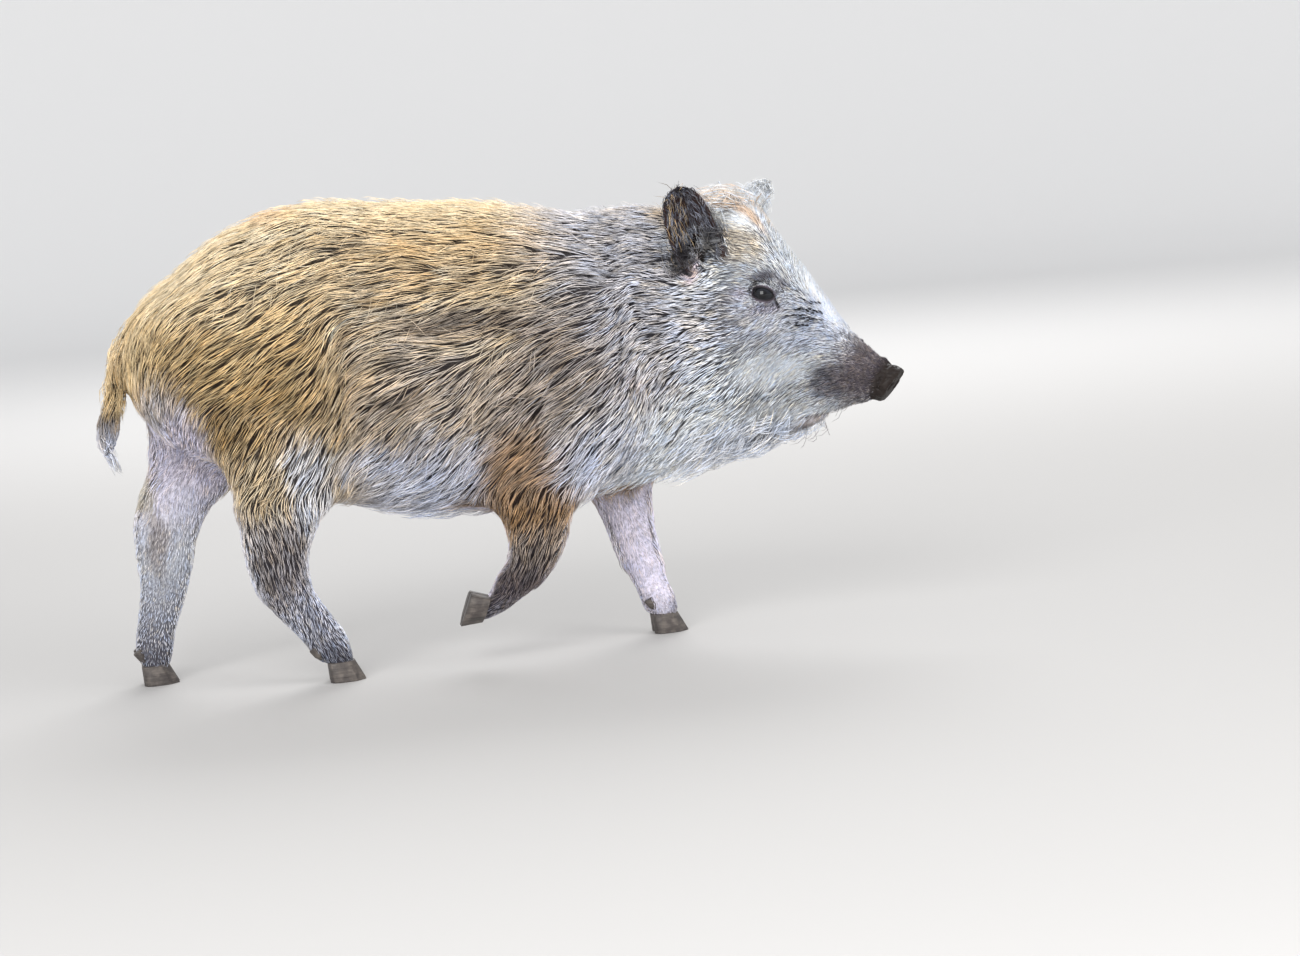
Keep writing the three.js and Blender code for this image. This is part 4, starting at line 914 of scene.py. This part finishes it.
def grown(names, share, most, steps, stretch, lift, gather, askew, slim, tone_range, contrast, to_lock, tint,
          cool):
    """Corners, triangles, colours, ways along the hair and patches of up to that many hairs, rooted where
    share, hairs per triangle, says."""
    count = int(min(most, share.sum()))
    passed = np.cumsum(share[face_order])
    steps_on = (np.arange(count) + random.random(count)) / count * passed[-1] * 0.999999
    chosen = random.permutation(face_order[np.searchsorted(passed, steps_on)])
    a, b = random.random((2, count))
    a, b = np.where(a + b > 1, 1 - a, a), np.where(a + b > 1, 1 - b, b)
    weights, corner = np.stack([1 - a - b, a, b], 1), triangles[chosen]

    def blend(values):
        return np.einsum("ij,ij...->i...", weights, values[corner])

    root, normal, way = blend(places), unit(blend(normals)), unit(blend(lie))
    locks = max(count // to_lock, 1)
    lock_tree = KDTree(locks)
    for index, place in enumerate(root[:locks].tolist()):
        lock_tree.insert(place, index)
    lock_tree.balance()
    lock = np.array([lock_tree.find(p)[1] for p in root.tolist()])
    yaw = random.normal(0, askew, locks)[lock] + random.normal(0, askew * 0.6, count)
    reach = blend(length) * stretch * random.uniform(*SIZE_SPREAD, count)
    thick = blend(width) * slim * random.uniform(*SIZE_SPREAD, count)
    rise = blend(depth) * random.uniform(*lift, count) * random.uniform(*RISE_SPREAD, locks)[lock]
    way = turned(way, normal, yaw)
    spots, at, done = [], root, 0
    for step, high in steps:
        at, near = on_skin(at + way * (reach * (step - done))[:, None])
        done = step
        way = turned(lie[near], normals[near], yaw)
        spots.append([at + normals[near] * (rise * high)[:, None], normals[near], way])
    tip = spots[-1][0]
    near_mate = np.exp(-np.linalg.norm(root - root[lock], axis=1) / LOCK_REACH)
    pull = (gather * random.uniform(*GATHER_SPREAD, count) * near_mate)[:, None]
    tip = tip + (tip[lock] - tip) * pull
    base = root - normal * ROOT_SUNK
    rings = []
    hair_rings = spots[:-1] if len(steps) > 1 else [[base, spots[0][1], way]]
    for index, (centre, out, onward) in enumerate(hair_rings):
        centre = centre + (centre[lock] - centre) * pull * 0.3 * index
        across = unit(np.cross(out, onward))
        above = np.cross(onward, across)
        for turn in np.radians((90, 210, 330)):
            rings.append(centre + (across * math.cos(turn) + above * math.sin(turn)) * (thick / 2)[:, None])
    if len(steps) > 1:
        corners, one = np.stack([base, *rings, tip], 1), spindle(len(steps) - 1)
        down = np.concatenate([[0], np.repeat([step for step, high in steps[:-1]], 3), [1]])
    else:
        corners, one, down = np.stack([*rings, tip], 1), spindle(0), np.array([SPIKE_BASE] * 3 + [1])
    faces = one[None] + (np.arange(count) * corners.shape[1])[:, None, None]
    colour = blend(marking) if tint is None else np.broadcast_to(tint, (count, 3))
    # The short hairs take a share of the dark cool colour: partly their own dark colour, partly painted shade
    # of the gaps between the long hairs.
    colour = colour * (1 - cool) + UNDERCOAT_AND_GAP_SHADE * cool
    tone = LOCK_TONE * random.normal(0, 1, locks)[lock] + STREAK_TONE * blend(streaks)
    tone = np.exp(contrast * (tone + random.normal(0, HAIR_TONE, count))) * random.uniform(*tone_range, count)
    tone = tone + np.maximum(AIRY_TONE - tone, 0) * AIRY_LIFT * blend(airy)
    warm = random.normal(0, WARMTH, locks)[lock] + random.normal(0, WARMTH, count)
    colour = colour ** np.where(tone < DARK_TONE, DARK_POWER, 1.0)[:, None] * tone[:, None]
    colour = colour * (1 + warm[:, None] * np.array([0.6, 0, -1]))
    colour = colour * np.minimum(1, BRIGHTEST / colour.max(1))[:, None]
    step_u = np.arange(len(one))[:, None] + np.array([0, 1, 0.5])
    flat = np.stack([step_u / len(one), np.broadcast_to([0, 0, 1], step_u.shape)], 2)
    patch = unrolled(root, normal, names)[:, None, None] + (flat[None] - 0.5) * PATCH_SIZE
    return (corners.reshape(-1, 3), faces.reshape(-1, 3), np.repeat(colour, len(down), 0),
            np.tile(down, count), patch.reshape(-1, 2))


coat_paints = {}


def coat_paint(root_shade):
    """The material of hairs that are this dark at the root, against 1 at the tip."""
    if root_shade not in coat_paints:
        paint = Paint("coarse hair")
        light = paint.ramp(paint.layer("along", "Fac"), 0.0, 0.5, root_shade, 1.0)
        light = light * paint.ramp(paint.noise(55, 2), 0.3, 0.7, 0.82, 1.06)
        grey = paint.node("ShaderNodeCombineColor", None, {0: light, 1: light, 2: light})
        colour = paint.mixed(1.0, paint.layer("marking"), grey, "MULTIPLY")
        roughness = 0.52 - paint.layer("along", "Fac") * 0.08
        coat_paints[root_shade] = paint.finish(colour, roughness, specular=0.35)
    return coat_paints[root_shade]


def hairs(name, names, most_guards, most_unders=0, side=0, spikes=False, stretch=1.0, lift=(0.85, 1.05),
          gather=0.2, askew=0.1, where=None, tint=None, slim=1.0, root_shade=0.12, contrast=1.0, to_lock=5,
          tone=(0.9, 1.12), under_tone=(0.1, 0.42), crowd=None):
    """One piece of the coat, of long pale guard hairs over short dark ones, growing from the named parts."""
    belongs = np.isin(part, [flesh.index(n) for n in names]).astype(float)
    share = belongs[triangles].mean(1) * face_area / 100
    if side:
        from_middle = from_head(face_mid)[1] if names[0] == "head" else face_mid[:, 1]
        share = share * (from_middle * side >= 0)
    if where is not None:
        share = share * where[triangles].mean(1)
    sets = []
    for dense, most, steps, longer, high, tones, thinner, cool in (
            (guards, most_guards, GUARD_STEPS, 1.0, lift, tone, 1.0, 0.0),
            (unders, most_unders, UNDER_STEPS, 0.5, (0.5, 0.95), under_tone, 0.85, 0.55)):
        wanted = share * (dense[triangles].mean(1) if crowd is None else crowd)
        if most:
            sets.append(grown(names, wanted, most, SPIKE_STEPS if spikes else steps, stretch * longer, high,
                              gather, askew, slim * thinner, tones, contrast, to_lock, tint, cool))
    mesh = mesh_of(name, *together([made[:2] for made in sets]))
    colours, downs, patches = (np.concatenate([made[k] for made in sets]) for k in (2, 3, 4))
    store(mesh, "marking", colours)
    store(mesh, "along", downs)
    mesh.uv_layers.new(name="OFBake").uv.foreach_set("vector", patches.astype(np.float32).ravel())
    mesh.materials.append(coat_paint(root_shade))
    piece = placed(name, mesh)
    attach(piece, "root")


near_legs = [name for name in flesh if "leg_right" in name]
far_legs = [name for name in flesh if "leg_left" in name]
both_ears = ["ear_right", "ear_left"]
behind_ears = fade(along, 42, 88)
for side, sign in SIDES.items():
    hairs("coat_trunk_" + side, ["trunk"], 7000, 17000, side=sign)
hairs("coat_rump", ["rump"], 7000, 16000)
hairs("coat_neck", ["neck"], 8000, 13500, askew=0.12, gather=0.12, contrast=1.2)
hairs("coat_nape_and_throat", ["head"], 8500, 14000, askew=0.12, gather=0.12, contrast=1.2,
      where=behind_ears)
hairs("coat_near_legs", near_legs, 8900, 12300)
hairs("coat_far_legs", far_legs, 8300, 10500)
for side, sign in SIDES.items():
    hairs("coat_face_" + side, ["head", "jaw"], 22000, 24000, side=sign, where=1 - behind_ears,
          spikes=True, gather=0.15, tone=(0.95, 1.2), under_tone=(0.1, 0.6), contrast=1.45, root_shade=0.4)
hairs("coat_ears", both_ears, 9000, 6000, spikes=True, root_shade=0.7)
deep_in_cup = smooth(in_cup, 0.4, 0.8)
hairs("coat_ear_near_inside", ["ear_right"], 900, where=deep_in_cup, crowd=22, gather=0.3,
      askew=0.3, stretch=1.2, lift=(0.6, 1.8), tint=SLATE, slim=0.8, tone=(0.3, 1.6), contrast=2.0)
hairs("coat_ear_near_tan", ["ear_right"], 70, where=deep_in_cup * fade(along, 34, 44), crowd=22,
      gather=0.3, askew=0.25, stretch=2.0, lift=(1.0, 2.5), tint=TAN, slim=0.6, tone=(0.5, 1.0))
hairs("coat_ear_far_inside", ["ear_left"], 1200, where=deep_in_cup, crowd=30, gather=0.3,
      askew=0.3, stretch=2.1, lift=(0.8, 4.5), tint=WHITE, slim=0.8)
rims = smooth(in_cup, 0.02, 0.3) * fade(in_cup, 0.7, 0.98)
hairs("coat_ear_rims", both_ears, 2000, where=rims, crowd=330, gather=0.1, askew=0.6, stretch=1.5,
      lift=(0.8, 4.2), slim=0.75, tone=(0.5, 1.1))
hairs("coat_tail", ["tail"], 1500, 2200, lift=(0.8, 1.9), askew=0.2, stretch=1.15)

# Bristles and fringes: stiffer, longer hairs that stand out of the coat along the back, on the flanks and the
# crown, under the belly and at the throat
on_top = smooth(normals[:, 2], 0.55, 0.9) * smooth(z, 380, 400) * haired
hairs("bristles_back", ["trunk", "rump", "neck", "head"], 1800, where=on_top, crowd=3.5,
      lift=(0.95, 1.45), stretch=0.7, askew=0.2, slim=0.7)
hairs("bristles_flank", ["trunk", "rump", "hindleg_right_thigh", "hindleg_left_thigh"], 2600,
      crowd=1.25, lift=(0.95, 1.3), stretch=0.95, askew=0.38, slim=0.62, gather=0.0, tone=(0.95, 1.3))
crown = zone(head_places, (52, 0, 430), (34, 36, 26)) * haired
hairs("bristles_crown", ["head"], 900, where=crown, crowd=12, lift=(1.6, 4.2), stretch=1.6,
      askew=0.4, slim=0.9, tone=(0.04, 0.6))
below = smooth(-normals[:, 2], 0.0, 0.6) * fade(along, 110, 150) * haired
hairs("fringe_below", ["trunk", "neck", "head"], 3000, where=below, crowd=3.2, lift=(1.0, 1.7),
      stretch=0.9, askew=0.2, slim=0.8)
throat = smooth(-normals[:, 2], -0.1, 0.5) * zone(head_places, (70, 0, 205), (66, 50, 26)) * haired
hairs("fringe_throat", ["head", "jaw"], 1500, where=throat, crowd=9, lift=(1.1, 2.6),
      stretch=1.5, askew=0.3, slim=0.9, gather=0.6, tint=FROST, to_lock=9)

# Bristles of the face: black stubs in rows along the muzzle, stiff whiskers over the lips and chin, and
# lashes along the upper lids
rows = np.maximum(np.cos(height * 0.9 + along * 0.35), 0) ** 3
stubs = zone(head_places, (143, 24, 316), (12, 18, 10)) * among("head") * haired * rows
hairs("bristles_muzzle", ["head"], 160, where=stubs, crowd=40, stretch=0.75, lift=(1.05, 1.35),
      slim=1.9, tint=SOOT, tone=(0.1, 0.3), gather=0.0, root_shade=0.7)
whiskers = zone(head_places, (168, 24, 236), (24, 16, 16)) + zone(head_places, (140, 12, 208), (18, 20, 8))
hairs("whiskers", ["head", "jaw"], 80, where=whiskers * haired, crowd=2.5, stretch=2.0,
      lift=(2.0, 4.5), slim=0.55, tint=MUD, tone=(0.3, 1.6), gather=0.0, askew=0.4)
lashes = smooth(lid_gap, 1.5, 2.2) * fade(lid_gap, 4.5, 5.5) * (height > 341)
hairs("lashes", ["head"], 160, where=lashes, crowd=60, stretch=1.2, lift=(1.3, 3.0), slim=0.7,
      tint=SOOT, tone=(0.3, 0.8), gather=0.1, askew=0.3)

# Eyes: dark and wet, a slight bulge of clear cornea over a nearly black iris and a wide pupil. Each eyeball
# sits in its socket behind the lids.
CORNEA_REACH, CORNEA_RISE, EYE_ACROSS, EYE_AROUND = math.radians(38), 0.7, 48, 32
GAZE_FORWARD, GAZE_UP = 0.3, 0.05
PUPIL_EDGE, IRIS_EDGE = (0.0036, 0.0046), (0.0072, 0.0088)  # from the middle of the cornea, in metres
PUPIL, IRIS, EYE_WHITE = (0.001, 0.001, 0.002, 1), (0.006, 0.007, 0.010, 1), (0.004, 0.004, 0.005, 1)


def finished(work, name):
    """A smooth-shaded object of the scene, from a work mesh."""
    for f in work.faces:
        f.smooth = True
    mesh = bpy.data.meshes.new(name)
    work.to_mesh(mesh)
    work.free()
    return placed(name, mesh)


for side, centre in EYE_PLACE.items():
    gaze = Vector(unit(HEAD_LEFT * SIDES[side] + HEAD_FORWARD * GAZE_FORWARD + UP * GAZE_UP))
    middle = Vector((centre + ORIGIN) * MM)
    work = bmesh.new()
    bmesh.ops.create_uvsphere(work, u_segments=EYE_ACROSS, v_segments=EYE_AROUND, radius=EYE_RADIUS * MM,
                              matrix=gaze.to_track_quat("Z", "Y").to_matrix().to_4x4())
    for v in work.verts:
        v.co *= 1 + CORNEA_RISE / EYE_RADIUS * max(0, 1 - (v.co.angle(gaze) / CORNEA_REACH) ** 2)
    bmesh.ops.translate(work, verts=work.verts, vec=middle)
    eye = finished(work, "eyeball_" + side)
    paint = Paint("wet eye " + side)
    gap = paint.node("ShaderNodeVectorMath", {"operation": "DISTANCE"},
                     {0: paint.place(), 1: middle + gaze * EYE_RADIUS * MM}, output=1)
    colour = paint.mixed(paint.ramp(gap, *PUPIL_EDGE), PUPIL, IRIS)
    colour = paint.mixed(paint.ramp(gap, *IRIS_EDGE), colour, EYE_WHITE)
    eye.data.materials.append(paint.finish(colour, 0.02, specular=0.4))
    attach(eye, "root")
    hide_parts("eye_" + side)

# Hooves and dewclaws: shells of grey-brown horn that grow down round the quick, with growth rings, worn pale
# and scraped at the edge. Each is the solid's own form with its sharp edges rounded.
SHARP, FLAT, EDGE_ROUND = math.radians(28), math.radians(2), 0.0011
HORN, HORN_WORN, HORN_RING = (0.048, 0.040, 0.037, 1), (0.115, 0.098, 0.086, 1), (0.025, 0.021, 0.019, 1)
paint = Paint("worn horn")
rings, scrapes = paint.noise(1.0, 3, stretched=(60, 60, 900)), paint.noise(130, 3)
colour = paint.mixed(paint.ramp(scrapes, 0.35, 0.75), HORN, HORN_WORN)
colour = paint.mixed(paint.ramp(rings, 0.4, 0.65, 0.0, 0.45), colour, HORN_RING)
horn = paint.finish(colour, 0.4 + scrapes * 0.25, rings + scrapes * 0.4)
for name in claws:
    work = bmesh.new()
    work.from_mesh(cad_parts[name].data)
    bmesh.ops.remove_doubles(work, verts=work.verts, dist=1e-6)
    bmesh.ops.dissolve_limit(work, angle_limit=FLAT, verts=work.verts, edges=work.edges)
    sharp = [e for e in work.edges if len(e.link_faces) == 2 and e.calc_face_angle() > SHARP]
    bmesh.ops.bevel(work, geom=sharp, affect="EDGES", offset=EDGE_ROUND, segments=3, profile=0.5, material=-1,
                    clamp_overlap=True)
    claw = finished(work, name + "_horn")
    claw.data.materials.append(horn)
    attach(claw, "root")
    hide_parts(name)

# Plain pale floor, which turns up all round into a low backdrop, and four soft lamps. None of it is part of
# the animal.
FLOOR_REACH, BACKDROP_RISE, BACKDROP_STEPS, FLOOR_SIDES = 5.2, 2.2, 16, 96
work = bmesh.new()
profile = [work.verts.new((0, 0, 0)), work.verts.new((FLOOR_REACH, 0, 0))]
for step in range(1, BACKDROP_STEPS + 1):
    turn = math.radians(90 * step / BACKDROP_STEPS)
    profile.append(work.verts.new((FLOOR_REACH + BACKDROP_RISE * math.sin(turn), 0,
                                   BACKDROP_RISE * (1 - math.cos(turn)))))
for low, high in zip(profile[:-1], profile[1:]):
    work.edges.new((low, high))
bmesh.ops.spin(work, geom=work.verts[:] + work.edges[:], cent=(0, 0, 0), axis=(0, 0, 1),
               angle=2 * math.pi, steps=FLOOR_SIDES, use_merge=True)
bmesh.ops.remove_doubles(work, verts=work.verts, dist=1e-4)
bmesh.ops.recalc_face_normals(work, faces=work.faces)
work.faces.ensure_lookup_table()
if min(work.faces, key=lambda f: f.calc_center_median().length).normal.z < 0:
    bmesh.ops.reverse_faces(work, faces=work.faces)
floor = finished(work, "floor")
paint = Paint("pale floor")
from_boar = paint.node("ShaderNodeVectorMath", {"operation": "LENGTH"}, {0: paint.place()}, output=1)
colour = paint.mixed(paint.ramp(from_boar, 1.2, 5.5), (0.42, 0.41, 0.4, 1), (0.86, 0.85, 0.84, 1))
floor.data.materials.append(paint.finish(colour, 0.85))


def lamp(name, place, aim, size, watts, glints=True):
    light = bpy.data.lights.new(name, "AREA")
    light.energy, light.size = watts, size
    holder = placed(name, light)
    holder.visible_glossy = glints
    holder.location = place
    holder.rotation_euler = (Vector(aim) - Vector(place)).to_track_quat("-Z", "Y").to_euler()


lamp("key", (-1.6, -3.2, 2.0), (0, 0, 0.25), 2.6, 150)
lamp("fill", (2.8, -2.2, 1.3), (0, 0, 0.25), 2.4, 90, glints=False)
lamp("low", (0.7, -3.0, 0.45), (0, 0, 0.2), 1.4, 34, glints=False)
lamp("rim", (0.5, 2.6, 2.2), (0, 0, 0.3), 2.0, 70)
world = bpy.data.worlds.new("studio")
world.use_nodes = True
world.node_tree.nodes["Background"].inputs["Color"].default_value = (0.95, 0.97, 1, 1)
world.node_tree.nodes["Background"].inputs["Strength"].default_value = 0.75
bpy.context.scene.world = world
bpy.context.scene.view_settings.view_transform = "Standard"
